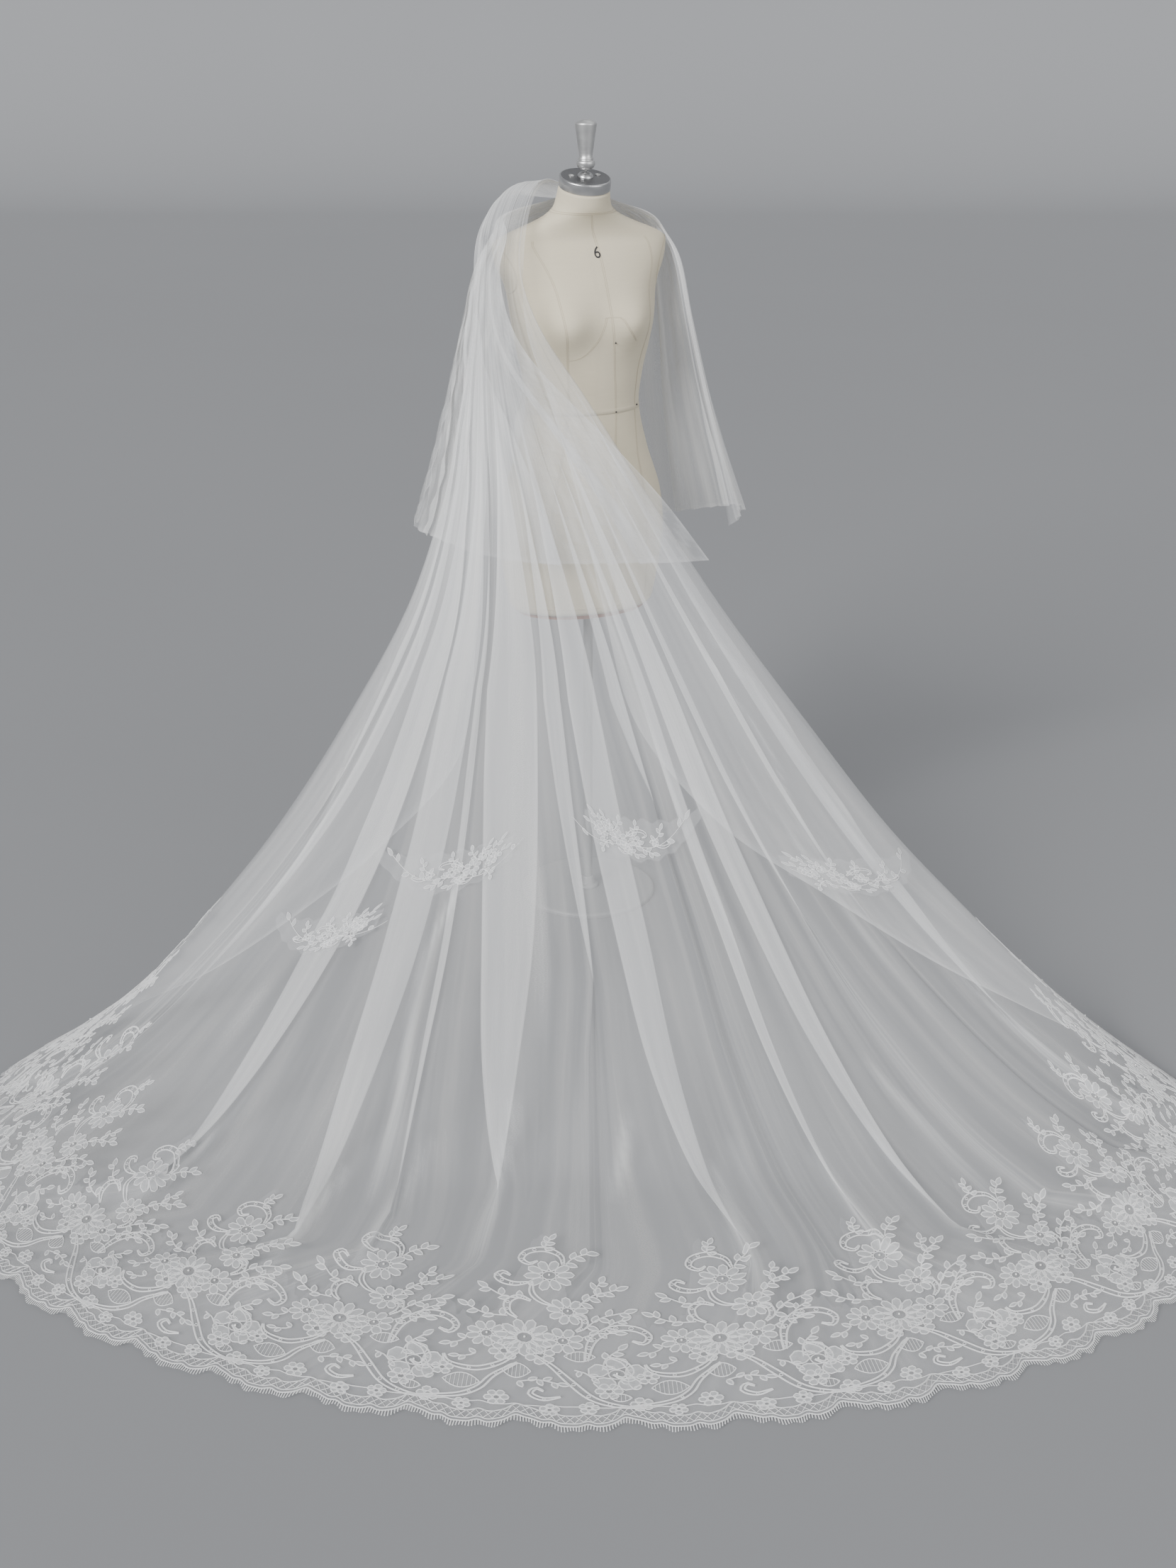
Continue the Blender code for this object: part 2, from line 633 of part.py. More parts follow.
def build_stand():
    """The plain stand: a round base plate and a pole that the torso sits on."""
    r, h = BASE_RADIUS, BASE_HEIGHT
    profile = ((0, h), (r - 0.006, h), (r - 0.002, h - 0.0015), (r, h - 0.004), (r, 0), (0, 0))
    turned("stand_base", profile, "stand_paint", 48)
    low = BASE_HEIGHT + SEAM_GAP
    high = RIM_Z - SEAM_GAP
    bpy.ops.mesh.primitive_cylinder_add(vertices=20, radius=POLE_RADIUS, depth=high - low,
                                        location=(0, 0, (low + high) / 2))
    pole = bpy.context.object
    pole.name = "stand_pole"
    place(pole, "stand_paint")


def build_comb():
    """The comb at the back of the neck, and the band that both tiers are sewn to."""
    arc_block("comb", COMB_START_DEG, COMB_END_DEG, COMB_INNER, COMB_OUTER,
              COMB_TOP - COMB_BAR, COMB_TOP, "satin_silver")
    arc_block("gather_band", BAND_START_DEG, BAND_END_DEG, BAND_INNER, BAND_OUTER,
              BAND_LOW, BAND_HIGH, "tulle")


def border_height(share):
    """How far up the cloth the lace reaches at a share along the hem."""
    phase = (share * LACE_REPEATS) % 1.0
    main = max(0.0, 1 - min(phase, 1 - phase) / 0.20)
    low = max(0.0, 1 - abs(phase - 0.5) / 0.14)
    return LACE_VALLEY + (LACE_PEAK - LACE_VALLEY) * main + (LACE_LOW_PEAK - LACE_VALLEY) * low


def cut_border(columns, first_row, reach):
    """The lace border's outline, cut from the hem's own faces in a flat plan whose x is the
    column and whose y is the row. reach gives, at half columns, the row where the lace ends."""
    plan = bmesh.new()
    last_row = len(LONG_ROWS) - 1
    grid = [[plan.verts.new((i, j, 0)) for j in range(first_row, last_row + 1)] for i in range(columns)]
    for left, right in zip(grid, grid[1:]):
        for j in range(len(left) - 1):
            plan.faces.new((left[j], right[j], right[j + 1]))
            plan.faces.new((left[j], right[j + 1], left[j + 1]))
    for i in range(columns - 1):
        everything = plan.verts[:] + plan.edges[:] + plan.faces[:]
        middle = (i + 0.5, 0, 0)
        bmesh.ops.bisect_plane(plan, geom=everything, dist=1e-5, plane_co=middle, plane_no=(1, 0, 0))
    for i in range(2 * (columns - 1)):
        start, end = (i / 2, reach[i]), ((i + 1) / 2, reach[i + 1])
        faces = [face for face in plan.faces if start[0] < face.calc_center_median().x < end[0]]
        edges = {edge for face in faces for edge in face.edges}
        verts = {vert for face in faces for vert in face.verts}
        slope = (end[1] - start[1]) / (end[0] - start[0])
        bmesh.ops.bisect_plane(plan, geom=[*verts, *edges, *faces], dist=1e-5,
                               plane_co=(*start, 0), plane_no=(-slope, 1, 0))
    above = []
    for face in plan.faces:
        centre = face.calc_center_median()
        if centre.y < np.interp(centre.x, np.arange(len(reach)) / 2, reach):
            above.append(face)
    bmesh.ops.delete(plan, geom=above, context="FACES")
    return plan


def offset_grid(rows, distance):
    """A cloth grid moved out along its own normals, by the same distance from every face."""
    build = grid_surface(rows)
    build.normal_update()
    points = [vert.co + vert.normal * vert.calc_shell_factor() * distance for vert in build.verts]
    build.free()
    return np.array(points).reshape(rows.shape)


def build_lace(rows):
    """The lace border, laid on the hem of the long tier from the tier's own points."""
    front = rows[:, len(FLAP_SHARES) : -len(FLAP_SHARES)]
    raised = offset_grid(front, WALL / 2 + LACE_WALL / 2 + LACE_CLEAR)
    last_row, columns = len(LONG_ROWS) - 1, front.shape[1]
    first_row = LONG_ROWS.index(LACE_FIRST_ROW)
    reach = []
    for i in range(2 * columns - 1):
        left = min(i // 2, columns - 2)
        line = front[:, left] + (front[:, left + 1] - front[:, left]) * (i / 2 - left)
        lengths = np.linalg.norm(np.diff(line[::-1], axis=0), axis=1)
        up = np.concatenate(([0], np.cumsum(lengths)))
        height = border_height(i / (2 * columns - 2))
        reach.append(max(last_row - float(np.interp(height, up, range(len(up)))), first_row + 0.02))
    plan = cut_border(columns, first_row, reach)
    for vert in plan.verts:
        i = min(int(vert.co.x), columns - 2)
        j = min(int(vert.co.y), last_row - 1)
        x, y = vert.co.x - i, vert.co.y - j
        corner = raised[j + 1, i + 1]
        if x > y:
            point = raised[j, i] + (raised[j, i + 1] - raised[j, i]) * x + (corner - raised[j, i + 1]) * y
        else:
            point = raised[j, i] + (corner - raised[j + 1, i]) * x + (raised[j + 1, i] - raised[j, i]) * y
        vert.co = point
    skin_object("lace_border", plan, LACE_WALL, "lace")


def long_facet(share, row):
    """A point of the long tier's outer surface on the straight stretch between two of its rows."""
    low = max(value for value in LONG_ROWS if value <= row)
    high = min(value for value in LONG_ROWS if value > row)
    part = (row - low) / (high - low)
    return long_base(share, low) * (1 - part) + long_base(share, high) * part


def build_sprays():
    """Four crescent sprays of lace on the long tier."""
    for number, values in enumerate(SPRAYS, 1):
        spray = dict(zip(SPRAY_COLUMNS, values))
        upper, middle, lower = [], [], []
        for i in range(SPRAY_LENGTHS):
            t = i / (SPRAY_LENGTHS - 1)
            share = spray["start_share"] + (spray["end_share"] - spray["start_share"]) * t
            row = spray["start_row"] + (spray["end_row"] - spray["start_row"]) * t
            row += SPRAY_BOW * (1 - (2 * t - 1) ** 2)
            toward = t if spray["thick_end"] else 1 - t
            width = SPRAY_HEIGHT * (0.10 + 0.90 * math.sin(math.pi * (0.06 + 0.72 * toward)) ** 1.2)
            metre = np.linalg.norm(long_base(share, row + 0.05) - long_base(share, row - 0.05)) / 0.1
            out = -surface_normal(long_base, share, row, 0.004) * (WALL + SPRAY_CLEAR)
            for line, offset in ((upper, -SPRAY_UP), (middle, 0.0), (lower, SPRAY_DOWN)):
                line.append(long_facet(share, row + offset * width / metre) + out)
        sheet(f"lace_spray_{number}", (upper, middle, lower), LACE_WALL, "lace")


def build():
    build_stand()
    build_form()
    build_head()
    build_comb()
    sheet("short_tier", short_tier_rows(), WALL, "tulle")
    rows = long_tier_rows()
    sheet("long_tier", rows, WALL, "tulle")
    build_lace(rows)
    build_sprays()


clear_scene()
PART = make_collection("bridal_veil")
build()
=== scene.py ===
"""Looks of a two-tier bridal veil on a limbless dress form.

Metres, +Z up, with the viewer at -Y. The cloth repeats the part's own sizes at a finer step, so
each new piece lies where its solid does.
"""

import logging
import math
from dataclasses import dataclass, field
from enum import Enum

import bmesh
import bpy
import numpy as np
from mathutils import Matrix, Vector


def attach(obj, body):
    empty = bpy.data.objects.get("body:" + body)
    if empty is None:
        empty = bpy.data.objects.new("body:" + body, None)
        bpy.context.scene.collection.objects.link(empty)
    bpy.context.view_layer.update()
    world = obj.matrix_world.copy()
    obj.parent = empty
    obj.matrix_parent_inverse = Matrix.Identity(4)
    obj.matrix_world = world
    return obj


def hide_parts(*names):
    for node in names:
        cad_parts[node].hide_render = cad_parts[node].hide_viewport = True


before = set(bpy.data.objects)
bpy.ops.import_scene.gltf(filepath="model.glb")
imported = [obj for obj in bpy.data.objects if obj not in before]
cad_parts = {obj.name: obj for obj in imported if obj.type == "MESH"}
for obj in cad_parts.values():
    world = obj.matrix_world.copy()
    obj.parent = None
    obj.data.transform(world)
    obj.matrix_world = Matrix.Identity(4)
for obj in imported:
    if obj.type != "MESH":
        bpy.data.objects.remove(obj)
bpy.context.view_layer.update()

LOG = logging.getLogger("bridal_veil")

# Long tier. Each row is a section across the cloth, from the comb down to the hem: its left
# ridge, its middle and its right ridge, and how far the section wraps past a half turn.
SECTION_COLUMNS = "left_x left_y left_z mid_x mid_y mid_z right_x right_y right_z wrap_deg".split()
LONG_SECTIONS = (
    (-0.0622, 0.0483, 1.5088, -0.0372, 0.0649, 1.5088, -0.0084, 0.0696, 1.5088, 0),
    (-0.158, 0.026, 1.520, -0.122, 0.034, 1.540, -0.082, 0.032, 1.545, 0),
    (-0.202, -0.076, 1.474, -0.160, -0.080, 1.494, -0.118, -0.062, 1.505, 0),
    (-0.216, -0.122, 1.380, -0.176, -0.148, 1.390, -0.130, -0.150, 1.398, 0),
    (-0.232, -0.128, 1.240, -0.170, -0.176, 1.260, -0.092, -0.188, 1.290, 0),
    (-0.258, -0.132, 1.100, -0.140, -0.205, 1.090, 0.000, -0.188, 1.150, 0),
    (-0.290, -0.148, 0.950, -0.100, -0.265, 0.920, 0.110, -0.207, 0.980, 0),
    (-0.365, -0.195, 0.740, -0.050, -0.380, 0.690, 0.270, -0.225, 0.740, 0),
    (-0.490, -0.300, 0.530, -0.020, -0.550, 0.460, 0.440, -0.310, 0.530, 0),
    (-0.610, -0.410, 0.360, 0.000, -0.740, 0.260, 0.590, -0.420, 0.360, 6),
    (-0.725, -0.500, 0.230, 0.000, -0.950, 0.110, 0.730, -0.510, 0.230, 12),
    (-0.840, -0.570, 0.110, 0.000, -1.170, 0.008, 0.860, -0.590, 0.115, 18),
    (-0.930, -0.610, 0.045, 0.000, -1.430, 0.004, 0.950, -0.640, 0.045, 24),
    (-1.000, -0.640, 0.012, 0.000, -1.730, 0.001, 1.010, -0.685, 0.012, 28),
)

# Where the two selvedges hang, behind the ridges, at the same rows.
SELVEDGE_COLUMNS = "left_x left_y left_z right_x right_y right_z".split()
LONG_SELVEDGES = (
    (-0.0689, 0.0403, 1.5088, -0.0006, 0.0687, 1.5088),
    (-0.162, 0.034, 1.511, -0.078, 0.040, 1.538),
    (-0.208, -0.073, 1.467, -0.111, -0.058, 1.501),
    (-0.221, -0.113, 1.379, -0.124, -0.145, 1.400),
    (-0.205, -0.138, 1.235, -0.118, -0.166, 1.284),
    (-0.198, -0.156, 1.090, -0.070, -0.168, 1.130),
    (-0.205, -0.187, 0.930, -0.020, -0.192, 0.960),
    (-0.225, -0.225, 0.700, 0.030, -0.218, 0.745),
    (-0.265, -0.275, 0.440, 0.100, -0.280, 0.510),
    (-0.420, -0.380, 0.285, 0.270, -0.375, 0.330),
    (-0.565, -0.465, 0.190, 0.470, -0.460, 0.220),
    (-0.740, -0.545, 0.095, 0.680, -0.547, 0.115),
    (-0.875, -0.598, 0.050, 0.850, -0.617, 0.052),
    (-0.965, -0.628, 0.012, 0.975, -0.673, 0.012),
)
FLAP_COLUMNS = 14
FLAP_EASE = 1.2

# Folds of the long tier, from left to right: the share across the section and the overlap of
# each at row 7.3, then the share and the row of its tip.
FOLD_ROW = 7.3
FOLD_COLUMNS = "share overlap tip_share tip_row".split()
LONG_FOLDS = (
    (0.105, 0.040, 0.130, 8.6),
    (0.160, 0.030, 0.150, 9.8),
    (0.226, 0.068, 0.283, 11.7),
    (0.296, 0.060, 0.372, 11.8),
    (0.338, 0.014, 0.408, 11.4),
    (0.400, 0.092, 0.454, 11.0),
    (0.472, 0.030, 0.504, 9.3),
    (0.525, 0.050, 0.567, 11.6),
    (0.585, 0.022, 0.600, 8.0),
    (0.636, 0.022, 0.625, 11.6),
    (0.675, 0.038, 0.664, 11.5),
    (0.715, 0.018, 0.717, 9.3),
    (0.800, 0.012, 0.787, 8.9),
    (0.895, 0.085, 0.833, 10.6),
)
GATHER_SLOPE = 0.30
TIP_SLOPE = 0.008
SPREAD_ROW = 11.8
OVERLAP_ROW = 3.5
FOLD_STEPS = (0.0, 0.55, 1.25, 2.0)
LONG_LAYER_ROWS = (0, 1, 2, 4, 5.4, 9, 11, 12, 13)
LONG_LAYERS = (0.0, 0.0, 0.0016, 0.0034, 0.0050, 0.0066, 0.0070, 0.0066, 0.0)
LONG_FREE_ROW = 5
FLOOR_LEAST = 0.0008
FLOOR_SOFT = 0.004

# Thin creases of the long tier as (share, row) points, each with its strength.
LONG_CREASES = (
    (1.0, ((0.058, 7.25), (0.096, 7.55), (0.117, 8.2), (0.154, 8.9), (0.142, 9.6))),
    (0.8, ((0.104, 6.38), (0.146, 6.93), (0.175, 7.23), (0.190, 8.0))),
    (1.6, ((0.375, 8.5), (0.358, 9.05), (0.362, 9.55), (0.383, 10.45), (0.396, 11.35))),
    (1.0, ((0.792, 6.65), (0.796, 7.05), (0.821, 7.85), (0.792, 8.43), (0.787, 8.72))),
    (1.4, ((0.883, 6.68), (0.854, 7.1), (0.879, 7.48), (0.867, 8.3), (0.858, 9.12), (0.842, 10.35))),
    (1.2, ((0.692, 10.2), (0.70, 11.0), (0.692, 12.0))),
    (1.0, ((0.525, 10.3), (0.512, 11.1))),
    (0.9, ((0.583, 10.6), (0.583, 11.95))),
    (0.7, ((0.440, 7.0), (0.452, 8.4), (0.470, 9.8))),
    (0.6, ((0.610, 6.2), (0.628, 7.8), (0.640, 9.4))),
    (0.6, ((0.240, 8.6), (0.232, 9.8), (0.228, 10.9))),
    (0.6, ((0.750, 7.4), (0.762, 8.8), (0.770, 10.2))),
    (0.5, ((0.050, 9.0), (0.060, 10.2), (0.072, 11.2))),
    (0.5, ((0.930, 9.2), (0.925, 10.4), (0.915, 11.4))),
)

# Small gathers of the long tier: how many, their phase and the row at which they end.
LONG_GATHERS = ((23, 0.4, 12.6), (41, 2.1, 10.5), (67, 4.4, 8.2), (97, 1.3, 6.0))

# Short tier. Its rows run from the comb to the hem and its angles from the front (0) round the
# left (90) and the back (180) to the right (270).
SHORT_COLUMNS = (
    "front_z left_z back_z right_z half_width centre_x front_depth back_depth turn start_deg end_deg".split()
)
SHORT_SECTIONS = (
    (1.508, 1.508, 1.508, 1.508, 0.068, -0.012, 0.068, 0.068, 0.000, 125, 235),
    (1.489, 1.483, 1.462, 1.480, 0.146, -0.021, 0.050, 0.096, 0.034, 75, 262),
    (1.460, 1.448, 1.423, 1.440, 0.1723, -0.0159, 0.056, 0.112, 0.066, 55, 275),
    (1.385, 1.380, 1.360, 1.385, 0.206, -0.018, 0.094, 0.135, 0.064, 48, 281),
    (1.265, 1.260, 1.240, 1.270, 0.234, -0.020, 0.138, 0.155, 0.053, 30, 284),
    (1.105, 1.110, 1.090, 1.120, 0.272, -0.020, 0.134, 0.190, 0.040, -4, 288),
    (0.960, 0.980, 0.950, 0.990, 0.310, -0.018, 0.156, 0.220, 0.030, -30, 293),
    (0.815, 0.864, 0.800, 0.880, 0.347, -0.017, 0.166, 0.250, 0.020, -50, 298),
)
SHORT_FOLD_COLUMNS = "hem_deg overlap_deg pin_deg".split()
SHORT_FOLDS = (
    (-24, 7, 62),
    (10, 8, 69),
    (40, 8, 78),
    (68, 7, 86),
    (94, 6, 95),
    (126, 8, 122),
    (158, 7, 155),
    (190, 8, 190),
    (222, 8, 226),
    (247, 7, 253),
    (267, 6, 263),
    (285, 5, 270),
)
SHORT_PIN_ROW = 2
SHORT_PIN_OVERLAP = -1.0
SHORT_FREE_ROW = 3
SHORT_CORNER_DROP = 0.020
SHORT_LAYER_ROWS = (0, 2, 3, 7)
SHORT_LAYERS = (0.0, 0.0014, 0.0034, 0.0050)

# Lace sprays: share and row at each end, and which end is thick.
SPRAY_COLUMNS = "start_share start_row end_share end_row thick_end".split()
SPRAYS = (
    (0.188, 9.45, 0.292, 9.15, 1),
    (0.263, 8.66, 0.412, 8.40, 1),
    (0.512, 8.17, 0.650, 8.20, 0),
    (0.733, 8.75, 0.942, 9.22, 0),
)
SPRAY_BOW = 0.14

# Dress form, in its own frame: front at -Y, then turned towards the viewer's right.
FORM_TURN = math.radians(22)
FORM_X = -0.012
FORM_COLUMNS = "z half_width front_depth back_depth shift_y".split()
FORM_SECTIONS = (
    (0.6850, 0.152, 0.098, 0.105, 0.004),
    (0.6900, 0.156, 0.102, 0.110, 0.004),
    (0.760, 0.171, 0.107, 0.122, 0.004),
    (0.846, 0.180, 0.108, 0.128, 0.002),
    (0.930, 0.170, 0.104, 0.112, 0.000),
    (1.020, 0.140, 0.092, 0.088, 0.000),
    (1.106, 0.121, 0.086, 0.078, 0.000),
    (1.170, 0.127, 0.090, 0.082, 0.000),
    (1.230, 0.140, 0.096, 0.092, 0.000),
    (1.290, 0.150, 0.100, 0.100, 0.000),
    (1.345, 0.158, 0.094, 0.104, 0.004),
    (1.390, 0.177, 0.076, 0.096, 0.008),
    (1.420, 0.184, 0.060, 0.080, 0.010),
    (1.436, 0.181, 0.050, 0.066, 0.010),
    (1.450, 0.155, 0.045, 0.058, 0.006),
    (1.464, 0.118, 0.044, 0.054, 0.002),
    (1.478, 0.085, 0.046, 0.053, -0.002),
    (1.492, 0.063, 0.050, 0.054, -0.005),
    (1.506, 0.055, 0.053, 0.055, -0.006),
    (1.5335, 0.050, 0.050, 0.050, -0.0130),
)
NECK_LOW_Z = 1.478
NECK_LEAN = math.radians(15)
BUST_X, BUST_Z, BUST_OUT, BUST_WIDE, BUST_TALL = 0.080, 1.282, 0.034, 0.055, 0.050


def soft_step(value: float, start: float, end: float) -> float:
    """A smooth rise from 0 at start to 1 at end."""
    share = min(max((value - start) / (end - start), 0), 1)
    return share * share * (3 - 2 * share)


def smooth_column(values: np.ndarray, row: float) -> float:
    """A smooth curve through a column's values, read at a row that may lie between two."""
    last = len(values) - 1
    low = min(max(int(math.floor(row)), 0), last - 1)
    share = row - low
    before = values[low - 1] if low else 2 * values[0] - values[1]
    after = values[low + 2] if low + 2 <= last else 2 * values[last] - values[last - 1]
    start, end = values[low], values[low + 1]
    leave, arrive = (end - before) / 2, (after - start) / 2
    square, cube = share**2, share**3
    return (
        (2 * cube - 3 * square + 1) * start
        + (cube - 2 * square + share) * leave
        + (3 * square - 2 * cube) * end
        + (cube - square) * arrive
    )


def read_row(names: list[str], table: tuple, row: float) -> dict[str, float]:
    """A table's columns, read at a row that may lie between two.

    Args:
        names: The columns' names.
        table: The rows of numbers.
        row: The row to read.
    Returns:
        Each column's value by name.
    """
    columns = np.array(table, float).T
    return {name: smooth_column(columns[i], row) for i, name in enumerate(names)}


def smooth_path(points: tuple | list | np.ndarray, step: float) -> np.ndarray:
    """A smooth curve through a few points, sampled at about the same step.

    Args:
        points: The points, in two or three coordinates.
        step: The distance between samples.
    Returns:
        The samples, as an array.
    """
    columns = np.array(points, float).T
    last = columns.shape[1] - 1
    fine = np.array([[smooth_column(c, t) for c in columns] for t in np.linspace(0, last, last * 12 + 1)])
    lengths = length_along(fine)
    count = max(int(lengths[-1] / step), 2)
    places = np.linspace(0, lengths[-1], count + 1)
    return np.array([np.interp(places, lengths, column) for column in fine.T]).T


def length_along(path: np.ndarray) -> np.ndarray:
    """How far along a path each of its points lies."""
    return np.concatenate(([0], np.cumsum(np.linalg.norm(np.diff(path, axis=0), axis=1))))


def left_of(path: np.ndarray, closed: bool = False) -> np.ndarray:
    """Unit vectors to the left of a flat path, whose ends may meet."""
    ahead = np.gradient(path, axis=0)
    if closed:
        ahead[0] = ahead[-1] = path[1] - path[-2]
    ahead /= np.maximum(np.linalg.norm(ahead, axis=1, keepdims=True), 1e-9)
    return np.stack((-ahead[:, 1], ahead[:, 0]), axis=1)


def unit_normals(across: np.ndarray, down: np.ndarray) -> np.ndarray:
    """Unit vectors at right angles to both directions of a surface."""
    normals = np.cross(across, down)
    return normals / np.linalg.norm(normals, axis=1, keepdims=True)


def near_row(level: np.ndarray, row: float, reach: float) -> np.ndarray:
    """1 at a row of the cloth, falling to 0 where its reach ends."""
    return np.clip(1 - np.abs(level - row) / reach, 0, 1) ** 0.5


def gather_counts(points: np.ndarray, flat_top: float, most: float) -> np.ndarray:
    """How many times the net of each row is gathered.

    Args:
        points: The cloth's points, row by row.
        flat_top: How wide the flat cloth is at the comb, in metres.
        most: The highest count.
    Returns:
        One count per row, as a column.
    """
    lengths = np.linalg.norm(np.diff(points, axis=1), axis=2).sum(axis=1)
    flat = np.linspace(flat_top, lengths[-1], len(points))
    return np.minimum(np.maximum(flat / lengths, 1.0), most)[:, None]


def read_between(table: np.ndarray, column: np.ndarray, level: np.ndarray) -> np.ndarray:
    """Reads a grid of vectors at places that lie between its entries.

    Args:
        table: The grid.
        column: The places along its first axis.
        level: The places along its second axis.
    Returns:
        One vector per place.
    """
    i = np.clip(column.astype(int), 0, table.shape[0] - 2)
    j = np.clip(level.astype(int), 0, table.shape[1] - 2)
    a, b = (column - i)[:, None], (level - j)[:, None]
    low = table[i, j] * (1 - a) + table[i + 1, j] * a
    high = table[i, j + 1] * (1 - a) + table[i + 1, j + 1] * a
    return low + (high - low) * b


def darker(colour: tuple, share: float) -> tuple:
    """A colour with each channel brought down to a share of it."""
    return tuple(value * share for value in colour)


class Wire:
    """A shader socket that adds Math nodes when it is used in an expression."""

    def __init__(self, graph: "Graph", socket: bpy.types.NodeSocket) -> None:
        """Wraps one socket of a graph."""
        self.graph, self.socket = graph, socket

    def _math(self, operation: str, *values: "Wire | float") -> "Wire":
        """Adds one Math node that takes these values in order."""
        return self.graph.node("ShaderNodeMath", {"operation": operation}, dict(enumerate(values)))

    def __add__(self, other: "Wire | float") -> "Wire":
        """self + other."""
        return self._math("ADD", self, other)

    __radd__ = __add__

    def __sub__(self, other: "Wire | float") -> "Wire":
        """self - other."""
        return self._math("SUBTRACT", self, other)

    def __rsub__(self, other: float) -> "Wire":
        """other - self."""
        return self._math("SUBTRACT", other, self)

    def __mul__(self, other: "Wire | float") -> "Wire":
        """self * other."""
        return self._math("MULTIPLY", self, other)

    __rmul__ = __mul__

    def clamp(self) -> "Wire":
        """self kept between 0 and 1."""
        return self._math("MINIMUM", self._math("MAXIMUM", self, 0.0), 1.0)


class Graph:
    """A material and the ways to add nodes to it."""

    def __init__(self, name: str) -> None:
        """Starts a material that holds one Principled shader."""
        self.material = bpy.data.materials.new(name)
        self.material.use_nodes = True
        self.tree = self.material.node_tree
        self.shader = self.tree.nodes["Principled BSDF"]

    def feed(self, socket: bpy.types.NodeSocket, value: object) -> None:
        """Links a wire to a socket, or sets a constant on it."""
        if isinstance(value, Wire):
            self.tree.links.new(value.socket, socket)
        else:
            socket.default_value = value

    def node(self, kind: str, settings: dict | None = None, inputs: dict | None = None, out: int | str = 0) -> Wire:
        """Adds a node of any type.

        Args:
            kind: The node's type.
            settings: Its own settings.
            inputs: Values or wires by the socket's name or number.
            out: The output that is returned.
        Returns:
            That output as a wire.
        """
        made = self.tree.nodes.new(kind)
        for name, value in (settings or {}).items():
            setattr(made, name, value)
        for name, value in (inputs or {}).items():
            self.feed(made.inputs[name], value)
        return Wire(self, made.outputs[out])

    def place(self, source: str, scale: tuple = (1, 1, 1)) -> Wire:
        """Coordinates of the surface, scaled.

        Args:
            source: Object or UV.
            scale: How much finer the pattern gets along each axis.
        Returns:
            The mapped coordinates.
        """
        spot = self.node("ShaderNodeTexCoord", out=source)
        return self.node("ShaderNodeMapping", None, {"Vector": spot, "Scale": scale})

    def noise(self, spot: Wire, scale: float, detail: float = 3.0, rough: float = 0.5, flat: bool = False) -> Wire:
        """Noise from 0 to 1 on some coordinates, of which a flat one reads two."""
        values = {"Vector": spot, "Scale": scale, "Detail": detail, "Roughness": rough}
        return self.node("ShaderNodeTexNoise", {"noise_dimensions": "2D" if flat else "3D"}, values)

    def ramp(self, value: Wire, low: float, high: float) -> Wire:
        """A value stretched so that low becomes 0 and high becomes 1."""
        return self.node("ShaderNodeMapRange", None, {"Value": value, "From Min": low, "From Max": high})

    def mix(self, share: Wire | float, first: tuple, second: tuple) -> Wire:
        """A colour between two colours."""
        values = {0: share, 6: (*first, 1.0), 7: (*second, 1.0)}
        return self.node("ShaderNodeMix", {"data_type": "RGBA"}, values, 2)

    def bump(self, height: Wire, strength: float, distance: float) -> Wire:
        """A normal that shows a height as relief."""
        return self.node("ShaderNodeBump", None, {"Height": height, "Strength": strength, "Distance": distance})

    def dress(self, **values: object) -> bpy.types.Material:
        """Feeds the shader's sockets, with _ for a space in their names, and returns the material."""
        for name, value in values.items():
            self.feed(self.shader.inputs[name.replace("_", " ")], value)
        return self.material


@dataclass(frozen=True)
class TulleFinish:
    """Soft net that gets denser where it is gathered, read from the cloth's own cover."""

    name: str = "soft_tulle"
    colour: tuple = (0.95, 0.95, 0.94)
    shade: tuple = (0.87, 0.885, 0.90)
    net: float = 520.0
    streak: float = 0.42

    def make(self) -> bpy.types.Material:
        """Builds the material."""
        graph = Graph(self.name)
        cover = graph.node("ShaderNodeAttribute", {"attribute_name": "cover"}, None, "Fac")
        fine = graph.noise(graph.place("UV", (46, 0.9, 1)), 1.0, 4.0, 0.62, True)
        broad = graph.noise(graph.place("UV", (9, 0.55, 1)), 1.0, 2.0, 0.5, True)
        lines = graph.ramp(fine, 0.36, 0.70)
        cells = graph.node(
            "ShaderNodeTexVoronoi",
            {"feature": "DISTANCE_TO_EDGE", "voronoi_dimensions": "2D"},
            {"Vector": graph.place("UV"), "Scale": self.net},
        )
        net = 1.0 - graph.ramp(cells, 0.04, 0.20)
        crumple = graph.noise(graph.place("UV", (5, 7, 1)), 1.0, 3.0, 0.6, True)
        streaks = 1.0 - self.streak / 2 + lines * self.streak
        alpha = (cover * streaks * (0.86 + 0.28 * broad) * (0.92 + 0.16 * net)).clamp()
        height = fine * 0.7 + crumple * 0.8
        return graph.dress(
            Base_Color=graph.mix(lines, self.shade, self.colour),
            Roughness=0.72 + 0.15 * broad,
            Alpha=alpha,
            Normal=graph.bump(height, 0.20, 0.006),
            Sheen_Weight=0.25,
            Sheen_Roughness=0.4,
            Specular_IOR_Level=0.25,
        )


